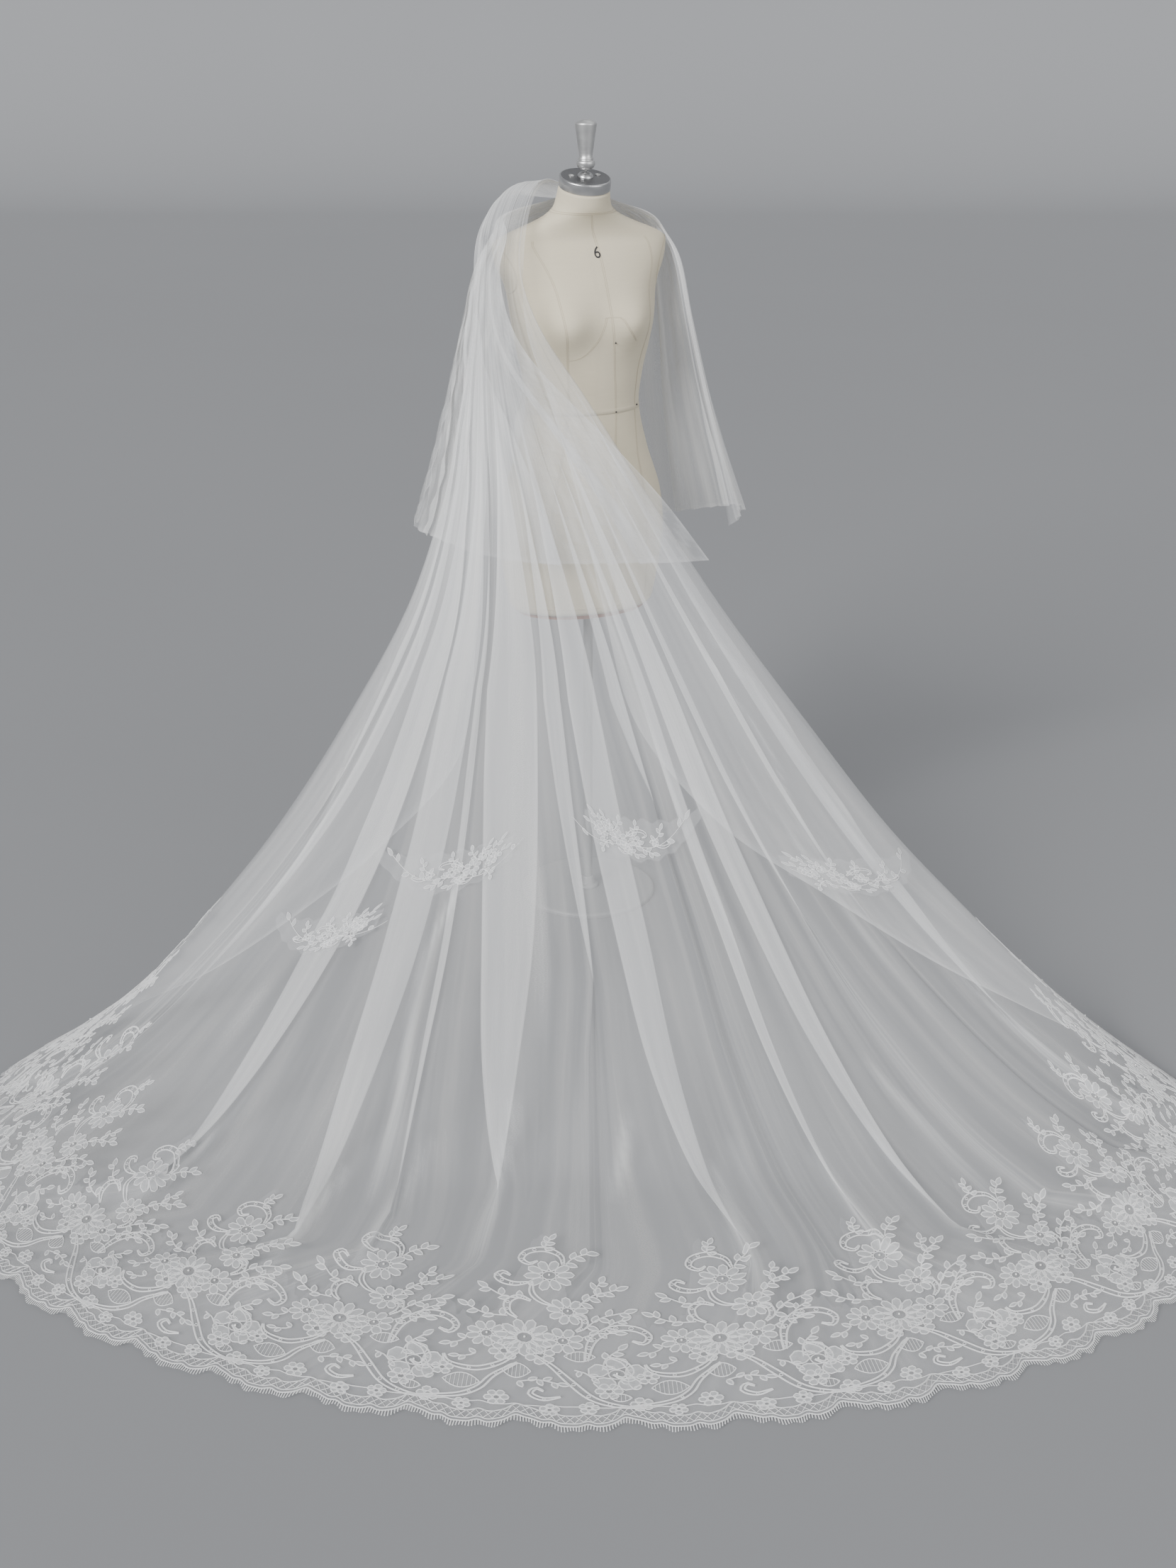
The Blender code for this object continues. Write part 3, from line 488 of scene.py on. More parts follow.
@dataclass(frozen=True)
class LaceFinish:
    """Embroidered thread: a cord, a filled petal or the net that carries them."""

    name: str
    colour: tuple
    shade: tuple
    cover: float
    thread: float

    def make(self) -> bpy.types.Material:
        """Builds the material."""
        graph = Graph(self.name)
        threads = graph.node(
            "ShaderNodeTexWave",
            {"wave_type": "BANDS", "bands_direction": "DIAGONAL"},
            {"Vector": graph.place("UV"), "Scale": self.thread, "Distortion": 1.4, "Detail": 2.0},
        )
        worn = graph.noise(graph.place("Object"), 90.0, 3.0)
        if self.cover < 1:
            graph.dress(Alpha=(self.cover * (0.75 + 0.5 * worn) * (0.80 + 0.40 * threads)).clamp())
        return graph.dress(
            Base_Color=graph.mix(worn, self.shade, self.colour),
            Roughness=0.58 + 0.2 * threads,
            Normal=graph.bump(threads + worn, 0.5, 0.0008),
            Sheen_Weight=0.2,
            Specular_IOR_Level=0.35,
        )


@dataclass(frozen=True)
class LinenFinish:
    """Plain woven linen with slubs and a little shading."""

    name: str = "beige_linen"
    light: tuple = (0.76, 0.69, 0.53)
    dark: tuple = (0.64, 0.575, 0.43)
    weave: float = 950.0

    def make(self) -> bpy.types.Material:
        """Builds the material."""
        graph = Graph(self.name)
        across = graph.noise(graph.place("UV", (self.weave * 0.25, self.weave, 1)), 1.0, 2.0)
        along = graph.noise(graph.place("UV", (self.weave, self.weave * 0.25, 1)), 1.0, 2.0)
        slub = graph.noise(graph.place("UV", (26, 180, 1)), 1.0, 3.0)
        soil = graph.noise(graph.place("Object"), 7.0, 4.0)
        cloth = (across + along) * 0.5
        shade = (0.45 * soil + 0.35 * slub + 0.35 * cloth).clamp()
        return graph.dress(
            Base_Color=graph.mix(shade, self.dark, self.light),
            Roughness=0.82 + 0.1 * cloth,
            Normal=graph.bump(cloth + slub * 0.5, 0.45, 0.0006),
            Sheen_Weight=0.12,
            Specular_IOR_Level=0.3,
        )


@dataclass(frozen=True)
class MetalFinish:
    """Brushed or satin metal with fine lines round its axis."""

    name: str
    colour: tuple
    rough: float
    brush: tuple

    def make(self) -> bpy.types.Material:
        """Builds the material."""
        graph = Graph(self.name)
        lines = graph.noise(graph.place("Object", self.brush), 1.0, 3.0)
        marks = graph.noise(graph.place("Object"), 38.0, 4.0)
        return graph.dress(
            Base_Color=graph.mix(marks, darker(self.colour, 0.80), self.colour),
            Roughness=(self.rough - 0.08 + 0.16 * lines + 0.08 * marks).clamp(),
            Metallic=1.0,
            Normal=graph.bump(lines, 0.12, 0.0004),
        )


@dataclass(frozen=True)
class WoodFinish:
    """Reddish stained wood with long grain."""

    name: str = "stained_rim"
    light: tuple = (0.34, 0.13, 0.07)
    dark: tuple = (0.19, 0.065, 0.035)

    def make(self) -> bpy.types.Material:
        """Builds the material."""
        graph = Graph(self.name)
        grain = graph.noise(graph.place("Object", (9, 9, 160)), 1.0, 5.0, 0.6)
        return graph.dress(
            Base_Color=graph.mix(graph.ramp(grain, 0.35, 0.65), self.dark, self.light),
            Roughness=0.38 + 0.2 * grain,
            Normal=graph.bump(grain, 0.2, 0.0006),
            Coat_Weight=0.2,
        )


@dataclass(frozen=True)
class PaintFinish:
    """Satin paint with a faint orange peel."""

    name: str = "stand_grey"
    colour: tuple = (0.30, 0.305, 0.31)

    def make(self) -> bpy.types.Material:
        """Builds the material."""
        graph = Graph(self.name)
        peel = graph.noise(graph.place("Object"), 260.0, 2.0)
        dust = graph.noise(graph.place("Object"), 9.0, 4.0)
        return graph.dress(
            Base_Color=graph.mix(dust, darker(self.colour, 0.9), self.colour),
            Roughness=0.36 + 0.16 * dust,
            Normal=graph.bump(peel, 0.06, 0.0004),
        )


@dataclass(frozen=True)
class PearlFinish:
    """Small glass pearls and clear sequins."""

    name: str = "pearl"
    colour: tuple = (0.95, 0.95, 0.93)

    def make(self) -> bpy.types.Material:
        """Builds the material."""
        graph = Graph(self.name)
        cloud = graph.noise(graph.place("Object"), 700.0, 2.0)
        return graph.dress(
            Base_Color=graph.mix(cloud, darker(self.colour, 0.86), self.colour),
            Roughness=0.14 + 0.12 * cloud,
            Coat_Weight=0.7,
        )


@dataclass(frozen=True)
class FloorFinish:
    """A plain pale studio floor."""

    name: str = "pale_floor"
    colour: tuple = (0.27, 0.275, 0.285)

    def make(self) -> bpy.types.Material:
        """Builds the material."""
        graph = Graph(self.name)
        patch = graph.noise(graph.place("Object"), 0.6, 2.0)
        tone = graph.mix(patch, darker(self.colour, 0.97), self.colour)
        return graph.dress(Base_Color=tone, Roughness=0.85, Specular_IOR_Level=0.1)


class Finish(Enum):
    """Every finish of the object, by the part that a maker would buy."""

    TULLE = TulleFinish()
    LACE_CORD = LaceFinish("lace_cord", (0.97, 0.97, 0.97), (0.90, 0.905, 0.91), 1.0, 900.0)
    LACE_FILL = LaceFinish("lace_fill", (0.93, 0.94, 0.95), (0.85, 0.865, 0.885), 0.52, 700.0)
    LACE_NET = LaceFinish("lace_net", (0.93, 0.94, 0.95), (0.86, 0.87, 0.89), 0.15, 420.0)
    LINEN = LinenFinish()
    TAPE = LinenFinish("waist_tape", (0.67, 0.61, 0.47), (0.59, 0.53, 0.40), 1300.0)
    THREAD = LinenFinish("seam_thread", (0.65, 0.58, 0.44), (0.56, 0.495, 0.37), 1600.0)
    INK = PaintFinish("number_ink", (0.035, 0.035, 0.04))
    STEEL = MetalFinish("brushed_cap", (0.72, 0.72, 0.72), 0.28, (30, 30, 900))
    # Painted shade: a darker copy of the brushed cap steel for the cap's own flat top, standing in for the dark
    # reflection on it.
    DARK_STEEL = MetalFinish("cap_top_painted_shade", (0.27, 0.27, 0.275), 0.36, (700, 12, 12))
    SILVER = MetalFinish("satin_knob", (0.80, 0.80, 0.79), 0.40, (12, 12, 420))
    WOOD = WoodFinish()
    PAINT = PaintFinish()
    PEARL = PearlFinish()
    FLOOR = FloorFinish()

    def get(self) -> bpy.types.Material:
        """The finish's material, made the first time."""
        return bpy.data.materials.get(self.value.name) or self.value.make()


def clear_selection() -> None:
    """Leaves nothing selected, so that an operator acts only on what is chosen next."""
    if bpy.context.object and bpy.context.object.mode != "OBJECT":
        bpy.ops.object.mode_set(mode="OBJECT")
    bpy.ops.object.select_all(action="DESELECT")


def add_object(name: str, data: bpy.types.ID) -> bpy.types.Object:
    """Adds an object that holds a mesh, a lamp or a camera to the scene."""
    made = bpy.data.objects.new(name, data)
    bpy.context.scene.collection.objects.link(made)
    return made


def mesh_piece(name: str, points: np.ndarray, faces: list, finish: Finish, smooth: bool = True) -> bpy.types.Object:
    """Makes a piece from points and faces.

    Args:
        name: The piece's name.
        points: Its points, three coordinates each.
        faces: The points of each face.
        finish: Its finish.
        smooth: Whether it is shaded smooth.
    Returns:
        The piece, at the origin.
    """
    mesh = bpy.data.meshes.new(name)
    mesh.from_pydata([tuple(point) for point in points], [], [tuple(face) for face in faces])
    mesh.materials.append(finish.get())
    if smooth:
        mesh.shade_smooth()
    return add_object(name, mesh)


def give_uv(piece: bpy.types.Object, places: np.ndarray) -> None:
    """Gives a piece a UV map from one place per point."""
    mesh = piece.data
    corners = np.empty(len(mesh.loops), np.int32)
    mesh.loops.foreach_get("vertex_index", corners)
    layer = mesh.uv_layers.new(name="cloth")
    layer.data.foreach_set("uv", np.asarray(places, np.float32)[corners].ravel())


def grid_faces(rows: int, columns: int, flip: bool = False) -> np.ndarray:
    """The faces of a grid of points, with their outer side up."""
    first = (np.arange(rows - 1)[:, None] * columns + np.arange(columns - 1)).ravel()
    faces = np.stack((first, first + columns, first + columns + 1, first + 1), axis=1)
    return faces[:, ::-1] if flip else faces


def give_cover(piece: bpy.types.Object, cover: np.ndarray) -> None:
    """Stores how much of the light each point of the cloth stops."""
    layer = piece.data.attributes.new("cover", "FLOAT", "POINT")
    layer.data.foreach_set("value", np.clip(cover, 0, 1).astype(np.float32).ravel())


def cloth_piece(name: str, points: np.ndarray, size: tuple, cover: np.ndarray, flip: bool) -> bpy.types.Object:
    """Makes a tier of tulle from its draped rows.

    Args:
        name: The piece's name.
        points: The cloth's points, row by row.
        size: The flat cloth's width and length.
        cover: How much of the light each point stops.
        flip: Whether the outer side is the other one.
    Returns:
        The piece, with its UV map and cover.
    """
    rows, columns = points.shape[:2]
    piece = mesh_piece(name, points.reshape(-1, 3), grid_faces(rows, columns, flip), Finish.TULLE)
    across, down = np.meshgrid(np.linspace(0, size[0], columns), np.linspace(0, size[1], rows))
    give_uv(piece, np.stack((across, down), axis=-1).reshape(-1, 2))
    give_cover(piece, cover)
    return piece


def split_columns(columns: list[tuple[float, float]], splits: int, passes: int) -> np.ndarray:
    """Divides a section's columns and rounds the edges of its folds.

    Args:
        columns: The place across and the layers in of each column.
        splits: How many columns each becomes.
        passes: How many times the result is smoothed.
    Returns:
        The fine columns, two numbers each.
    """
    coarse = np.array(columns, float)
    count = len(coarse)
    fine = np.linspace(0, count - 1, (count - 1) * splits + 1)
    result = np.array([np.interp(fine, np.arange(count), column) for column in coarse.T]).T
    for _ in range(passes):
        result[1:-1] = 0.25 * result[:-2] + 0.5 * result[1:-1] + 0.25 * result[2:]
    return result


def folded_columns(edges: list[tuple[float, float]], first: float, last: float) -> list[tuple[float, float]]:
    """The columns of a section whose folds alternate.

    Args:
        edges: The near and far edge of each fold.
        first: The section's start.
        last: The section's end.
    Returns:
        The place across and the layers in of each column.
    """
    columns, reached, layer = [(first, 0.0)], first, 0.0
    for index, (near, far) in enumerate(edges):
        columns.append(((reached + near) / 2, layer))
        steps = FOLD_STEPS if index % 2 == 0 else FOLD_STEPS[::-1]
        slope = max(near - far, 0) / 3
        columns += [(far, steps[0]), (far + slope, steps[1]), (near - slope, steps[2]), (near, steps[3])]
        reached, layer = far, steps[3]
    columns += [((reached + last) / 2, layer), (last, 0.0)]
    return columns


def cover_of(single: float, density: np.ndarray) -> np.ndarray:
    """How much light a net stops when it is gathered that many times."""
    return 1 - (1 - single) ** np.maximum(density, 1.0)


@dataclass
class LongTier:
    """The cathedral tier: gathered at the comb, laid over the shoulder and spread on the floor."""

    rows: int = 156
    splits: int = 5
    single_cover: float = 0.20
    flat_top: float = 1.60
    flat_size: tuple = (2.74, 2.82)
    flat_area: float = 6.70
    most_layers: float = 3.7
    chest_row: float = 4.7
    chest_rows: float = 3.8
    chest_thin: float = 0.80
    gap_row: float = 2.85
    gap_rows: float = 0.75
    gap_thin: float = 0.75
    shoulder_row: float = 3.1
    shoulder_rows: float = 1.5
    shoulder_thin: float = 0.42
    crease_width: float = 0.0036
    crease_depth: float = 0.0016
    hem_blend: float = 0.05
    points: np.ndarray = field(default=None, repr=False)
    front: slice = field(default=None, repr=False)
    cover: np.ndarray = field(default=None, repr=False)

    def base(self, shares: np.ndarray, row: float) -> np.ndarray:
        """Points of the unfolded surface at some shares across a row."""
        r = read_row(SECTION_COLUMNS, LONG_SECTIONS, row)
        wrap = math.radians(r["wrap_deg"])
        angle = (2 * shares - 1) * (math.pi / 2 + wrap)
        centre_x = (r["left_x"] + r["right_x"]) / 2
        half = (r["right_x"] - r["left_x"]) / (2 * math.cos(wrap))
        depth = ((r["left_y"] + r["right_y"]) / 2 - r["mid_y"]) / (1 + math.sin(wrap))
        skew = (r["right_y"] - r["left_y"]) / 2 / math.cos(wrap)
        lean = (r["mid_x"] - centre_x) * np.maximum(np.cos(angle), 0) ** 2
        side = np.sin(np.abs(2 * shares - 1) * math.pi / 2) ** 2
        side_z = np.where(shares < 0.5, r["left_z"], r["right_z"])
        across = centre_x + half * np.sin(angle) + lean
        along = r["mid_y"] + depth * (1 - np.cos(angle)) + skew * np.sin(angle)
        return np.stack((across, along, r["mid_z"] + (side_z - r["mid_z"]) * side), axis=-1)

    def inward(self, shares: np.ndarray, row: float) -> np.ndarray:
        """Unit normals of the unfolded surface that point under the cloth."""
        across = self.base(shares + 0.004, row) - self.base(shares - 0.004, row)
        down = self.base(shares, row + 0.02) - self.base(shares, max(row - 0.02, 0))
        return unit_normals(across, down)

    def fold_edges(self, row: float) -> list[tuple[float, float]]:
        """The near and far edge of each fold at a row."""
        edges, count = [], len(LONG_FOLDS)
        for index, values in enumerate(LONG_FOLDS):
            fold = dict(zip(FOLD_COLUMNS, values))
            top_share, top_overlap = (index + 0.5) / count, -GATHER_SLOPE / count
            if row < FOLD_ROW:
                centre = top_share + (fold["share"] - top_share) * soft_step(row, 1, FOLD_ROW)
                overlap = top_overlap + (fold["overlap"] - top_overlap) * soft_step(row, OVERLAP_ROW, FOLD_ROW)
            else:
                blend = (row - FOLD_ROW) / (fold["tip_row"] - FOLD_ROW)
                centre = fold["share"] + (fold["tip_share"] - fold["share"]) * min(blend, 1)
                overlap = max(fold["overlap"] * (1 - blend), -TIP_SLOPE)
            edges.append((centre - overlap / 2, centre + overlap / 2))
        return edges

    def columns(self, row: float) -> list[tuple[float, float]]:
        """The coarse columns of a row, which spread evenly below the last fold's tip."""
        folded = folded_columns(self.fold_edges(row), 0.0, 1.0)
        blend = max(row - SPREAD_ROW, 0) / (len(LONG_SECTIONS) - 1 - SPREAD_ROW)
        last = len(folded) - 1
        return [(share + (i / last - share) * blend, layer) for i, (share, layer) in enumerate(folded)]

    def crease(self, shares: np.ndarray, row: float) -> np.ndarray:
        """How strongly a thin crease shows at some shares across a row."""
        total = np.zeros_like(shares)
        tips = [(1.1, ((tip, low - 0.8), (tip, low + 0.7))) for _, _, tip, low in LONG_FOLDS if low > 10.5]
        for strength, path in (*LONG_CREASES, *tips):
            places, levels = np.array(path).T
            if levels[0] < row < levels[-1]:
                middle = smooth_column(places, float(np.interp(row, levels, np.arange(len(levels)))))
                ends = math.sin(math.pi * (row - levels[0]) / (levels[-1] - levels[0])) ** 0.5
                total += strength * ends * np.exp(-(((shares - middle) / self.crease_width) ** 2))
        return total

    def ripple(self, shares: np.ndarray, row: float) -> np.ndarray:
        """Small gathers, in metres, that run down from the comb and fade towards the hem."""
        waves = np.zeros_like(shares)
        shares = shares + 0.030 * np.sin(19 * shares + 1.0) + 0.012 * np.sin(47 * shares + 2.0)
        for number, (count, phase, lowest) in enumerate(LONG_GATHERS):
            fade = 1 - soft_step(row, lowest - 4, lowest)
            waves += np.sin(2 * math.pi * count * shares + phase + 0.35 * row * (-1) ** number) * fade / (1 + number)
        return waves * float(np.interp(row, (0, 1.5, 5, 9, 13), (0.0002, 0.0005, 0.0010, 0.0022, 0.0)))

    def settled(self, shares: np.ndarray, layers: np.ndarray, row: float) -> tuple[np.ndarray, np.ndarray]:
        """Points of the folded cloth, kept off the floor.

        Args:
            shares: The places across the row.
            layers: How many layers in each one lies.
            row: The row.
        Returns:
            The points, and the distance between layers at each.
        """
        free = soft_step(row, LONG_FREE_ROW - 2, LONG_FREE_ROW)
        gap = float(np.interp(row, LONG_LAYER_ROWS, LONG_LAYERS)) * (free + (1 - free) * np.sin(math.pi * shares))
        depth = layers * gap + self.ripple(shares, row) - self.crease_depth * self.crease(shares, row)
        points = self.base(shares, row) + self.inward(shares, row) * depth[:, None]
        lowest = FLOOR_LEAST + (2 - layers) * gap
        points[:, 2] = lowest + np.logaddexp(0, (points[:, 2] - lowest) / FLOOR_SOFT) * FLOOR_SOFT
        return points, gap

    def outer(self, shares: np.ndarray, row: float) -> np.ndarray:
        """Points of the outermost layer at some shares across a row."""
        places, layers = split_columns(self.columns(row), self.splits, 3).T
        start, run = places[:-1, None], np.diff(places)[:, None]
        part = (shares[None] - start) / np.where(np.abs(run) < 1e-9, 1e-9, run)
        found = layers[:-1, None] + np.diff(layers)[:, None] * part
        found = np.where((part >= -1e-6) & (part <= 1 + 1e-6), found, np.inf).min(axis=0)
        return self.settled(shares, np.where(np.isfinite(found), found, 0.0), row)[0]

    def scallop(self, points: np.ndarray, edge: np.ndarray) -> None:
        """Draws the last rows of the cloth up to a scalloped edge."""
        for i, lift in enumerate(edge):
            line = points[::-1, self.front.start + i].copy()
            up = length_along(line)
            near = up < self.hem_blend
            moved = lift + up[near] * (self.hem_blend - lift) / self.hem_blend
            for axis in range(3):
                line[near, axis] = np.interp(moved, up, points[::-1, self.front.start + i, axis])
            points[::-1, self.front.start + i] = line

    def row_points(self, row: float) -> tuple[np.ndarray, np.ndarray]:
        """One row of the draped cloth.

        Args:
            row: The row, which may lie between two of the table's.
        Returns:
            The row's points and how much denser than the flat net each is.
        """
        shares, layers = split_columns(self.columns(row), self.splits, 3).T
        front, gap = self.settled(shares, layers, row)
        edge = np.abs(np.gradient(layers)) * 2.0 * min(gap.max() / 0.004, 1)
        dense = 1 + self.crease(shares, row) + np.minimum(edge, 1.0)
        hanging = read_row(SELVEDGE_COLUMNS, LONG_SELVEDGES, row)
        shares_out = np.linspace(1, 0, FLAP_COLUMNS + 1)[:-1, None] ** FLAP_EASE
        flaps = []
        for side, end in (("left", front[0]), ("right", front[-1])):
            selvedge = np.array([hanging[f"{side}_{axis}"] for axis in "xyz"])
            flaps.append(end + (selvedge - end) * shares_out)
        flap_dense = np.ones(len(flaps[0]))
        flap_dense[0] = 2.2
        points = np.concatenate((flaps[0], front, flaps[1][::-1]))
        return points, np.concatenate((flap_dense, dense, flap_dense[::-1]))

    def thinning(self) -> np.ndarray:
        """What share of the gathered net is left at each point, where the photo shows it clear."""
        columns = self.points.shape[1]
        level = np.linspace(0, len(LONG_SECTIONS) - 1, self.rows)[:, None]
        across = np.clip((np.arange(columns) - FLAP_COLUMNS) / (columns - 2 * FLAP_COLUMNS), 0, 1)[None]
        chest = near_row(level, self.chest_row, self.chest_rows)
        thin = 1 - self.chest_thin * chest * np.clip((across - 0.22) / 0.45, 0, 1)
        armhole = np.interp(level, (2.2, 3.5), (0.12, 0.85))
        leaf = np.exp(-(((across - armhole) / 0.10) ** 2)) * near_row(level, self.gap_row, self.gap_rows)
        shoulder = near_row(level, self.shoulder_row, self.shoulder_rows)
        return thin * (1 - self.gap_thin * leaf) * (1 - self.shoulder_thin * shoulder)

    def drape(self) -> None:
        """Works out the whole cloth's points and cover."""
        rows = [self.row_points(row) for row in np.linspace(0, len(LONG_SECTIONS) - 1, self.rows)]
        self.points = np.array([points for points, _ in rows])
        self.front = slice(FLAP_COLUMNS, self.points.shape[1] - FLAP_COLUMNS)
        gathered = gather_counts(self.points, self.flat_top, self.most_layers)
        dense = np.array([dense for _, dense in rows]) * np.maximum(gathered * self.thinning(), 1.0)
        self.cover = cover_of(self.single_cover, dense)

    def build(self, hem: "HemMap") -> bpy.types.Object:
        """Builds the cloth, with its hem cut in scallops."""
        points = self.points.copy()
        self.scallop(points, hem.edge(np.linspace(0, 1, points[:, self.front].shape[1])))
        piece = cloth_piece("long_tier_tulle", points, self.flat_size, self.cover, False)
        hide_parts("long_tier")
        return piece


@dataclass
class ShortTier:
    """The elbow tier: gathered at the same comb, pinched on both shoulder tips."""

    rows: int = 84
    splits: int = 5
    single_cover: float = 0.20
    flat_top: float = 1.10
    flat_size: tuple = (1.90, 0.82)
    flat_area: float = 1.25
    most_layers: float = 3.4

    def base(self, degrees: np.ndarray, row: float) -> np.ndarray:
        """Points of the unfolded surface at some angles round a row."""
        r = read_row(SHORT_COLUMNS, SHORT_SECTIONS, row)
        angle = np.radians(degrees)
        across, along = -np.sin(angle), np.cos(angle)
        depth = np.where(along > 0, r["front_depth"], r["back_depth"])
        end_z = np.where(along > 0, r["front_z"], r["back_z"])
        side_z = np.where(across < 0, r["left_z"], r["right_z"])
        side_z = np.where(degrees < 0, r["front_z"] - SHORT_CORNER_DROP, side_z)
        x = r["centre_x"] + r["half_width"] * across
        return np.stack((x, -depth * along + r["turn"] * across, side_z + (end_z - side_z) * along**2), axis=-1)

    def outward(self, degrees: np.ndarray, row: float) -> np.ndarray:
        """Unit normals of the unfolded surface that point away from the form."""
        across = self.base(degrees + 0.8, row) - self.base(degrees - 0.8, row)
        down = self.base(degrees, row + 0.02) - self.base(degrees, max(row - 0.02, 0))
        return unit_normals(across, down)

    def fold_edges(self, row: float, start: float, end: float) -> list[tuple[float, float]]:
        """The near and far edge of each fold at a row, in degrees."""
        edges, count, hem_row = [], len(SHORT_FOLDS), len(SHORT_SECTIONS) - 1
        for index, values in enumerate(SHORT_FOLDS):
            fold = dict(zip(SHORT_FOLD_COLUMNS, values))
            shares = [(index + 0.5) / count]
            for angle, at_row in ((fold["pin_deg"], SHORT_PIN_ROW), (fold["hem_deg"], hem_row)):
                there = dict(zip(SHORT_COLUMNS, SHORT_SECTIONS[at_row]))
                shares.append((angle - there["start_deg"]) / (there["end_deg"] - there["start_deg"]))
            levels = (0, SHORT_PIN_ROW, hem_row)
            centre = start + (end - start) * float(np.interp(row, levels, shares))
            top_overlap = -GATHER_SLOPE * (end - start) / count
            overlap = float(np.interp(row, levels, (top_overlap, SHORT_PIN_OVERLAP, fold["overlap_deg"])))
            edges.append((centre - overlap / 2, centre + overlap / 2))
        return edges

    def row_points(self, row: float) -> tuple[np.ndarray, np.ndarray, np.ndarray]:
        """One row of the cloth, how much denser than the flat net each point is, and its angles."""
        section = read_row(SHORT_COLUMNS, SHORT_SECTIONS, row)
        start, end = section["start_deg"], section["end_deg"]
        columns = folded_columns(self.fold_edges(row, start, end), start, end)
        degrees, layers = split_columns(columns, self.splits, 3).T
        shares = (degrees - start) / (end - start)
        free = soft_step(row, SHORT_FREE_ROW - 2, SHORT_FREE_ROW)
        gap = float(np.interp(row, SHORT_LAYER_ROWS, SHORT_LAYERS)) * (free + (1 - free) * np.sin(math.pi * shares))
        wave = np.sin(2 * math.pi * 37 * shares + 0.8 + 0.5 * row) + 0.6 * np.sin(2 * math.pi * 61 * shares - 0.3 * row)
        wave = wave * float(np.interp(row, (0, 1, 4, 7), (0.0, 0.0008, 0.0016, 0.0026)))
        points = self.base(degrees, row) - self.outward(degrees, row) * (layers * gap + wave)[:, None]
        edge = np.abs(np.gradient(layers)) * 2.0 * min(gap.max() / 0.003, 1)
        return points, 1 + np.minimum(edge, 1.0) * 1.3, degrees

    def wings(self, degrees: np.ndarray, level: np.ndarray) -> np.ndarray:
        """How much of the net's tone is left where one clear layer hangs at either side."""
        right = np.clip((degrees - 258) / 5, 0, 1)
        left = np.clip((degrees - 72) / 5, 0, 1) * np.clip((112 - degrees) / 5, 0, 1)
        return 1 - np.clip((level - 0.25) / 0.2, 0, 1) * (0.62 * right + 0.50 * left)

    def build(self) -> bpy.types.Object:
        """Builds the cloth with its pencil edge."""
        rows = [self.row_points(row) for row in np.linspace(0, len(SHORT_SECTIONS) - 1, self.rows)]
        points, dense, degrees = (np.array(column) for column in zip(*rows))
        gathered = gather_counts(points, self.flat_top, self.most_layers)
        level = np.linspace(0, 1, self.rows)[:, None]
        pleats = np.clip(0.4 + 1.6 * np.sin(0.62 * degrees + 1.2 * np.sin(0.13 * degrees)), 0, 1)
        dense = dense * (gathered + 1.7 * pleats * (1 - 0.4 * level)) * self.wings(degrees, level)
        dense[-1] += 0.8
        dense[:, 0] += 0.5
        dense[:, -1] += 0.4
        cover = cover_of(self.single_cover, np.minimum(dense, 8.0))
        piece = cloth_piece("short_tier_tulle", points, self.flat_size, cover, True)
        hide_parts("short_tier")
        return piece


class HemMap:
    """Places on the long tier's hem: a share along it and metres up the cloth from it."""

    step = 0.008
    reach = 0.52
    scallops = 29.2
    scallop_height = 0.022
    columns = 761
    rows = 72
    highest_row = 10.0

    def __init__(self, cloth: LongTier) -> None:
        """Reads the outermost layer of the draped cloth, up from its hem along its own threads."""
        shares = np.linspace(0, 1, self.columns)
        rows = np.linspace(len(LONG_SECTIONS) - 1, self.highest_row, self.rows)
        lines = np.array([cloth.outer(shares, row) for row in rows])
        outward = np.array([-cloth.inward(shares, row) for row in rows])
        levels = np.arange(0, self.reach, self.step)
        self.spots = np.empty((self.columns, len(levels), 3))
        self.normals = np.empty_like(self.spots)
        for i in range(self.columns):
            up = length_along(lines[:, i])
            for axis in range(3):
                self.spots[i, :, axis] = np.interp(levels, up, lines[:, i, axis])
                self.normals[i, :, axis] = np.interp(levels, up, outward[:, i, axis])
        self.length = float(np.linalg.norm(np.diff(self.spots[:, 0], axis=0), axis=1).sum())

    def place(self, share: np.ndarray, height: np.ndarray, lift: np.ndarray) -> np.ndarray:
        """World points at shares along the hem, heights up the cloth and lifts off it."""
        column = np.clip(share, 0, 1) * (self.columns - 1)
        level = np.clip(height / self.step, -2, self.spots.shape[1] - 2)
        outward = read_between(self.normals, column, level)
        points = read_between(self.spots, column, level) + outward * lift[:, None]
        points[:, 2] = np.maximum(points[:, 2], FLOOR_LEAST)
        return points

    def edge(self, share: np.ndarray) -> np.ndarray:
        """How far the scalloped edge lies up from the cloth's own hem."""
        big = np.abs(np.cos(math.pi * self.scallops * share))
        small = np.abs(np.cos(3 * math.pi * self.scallops * share + 0.6))
        return self.scallop_height * (big**5 * 0.75 + small**6 * 0.25)


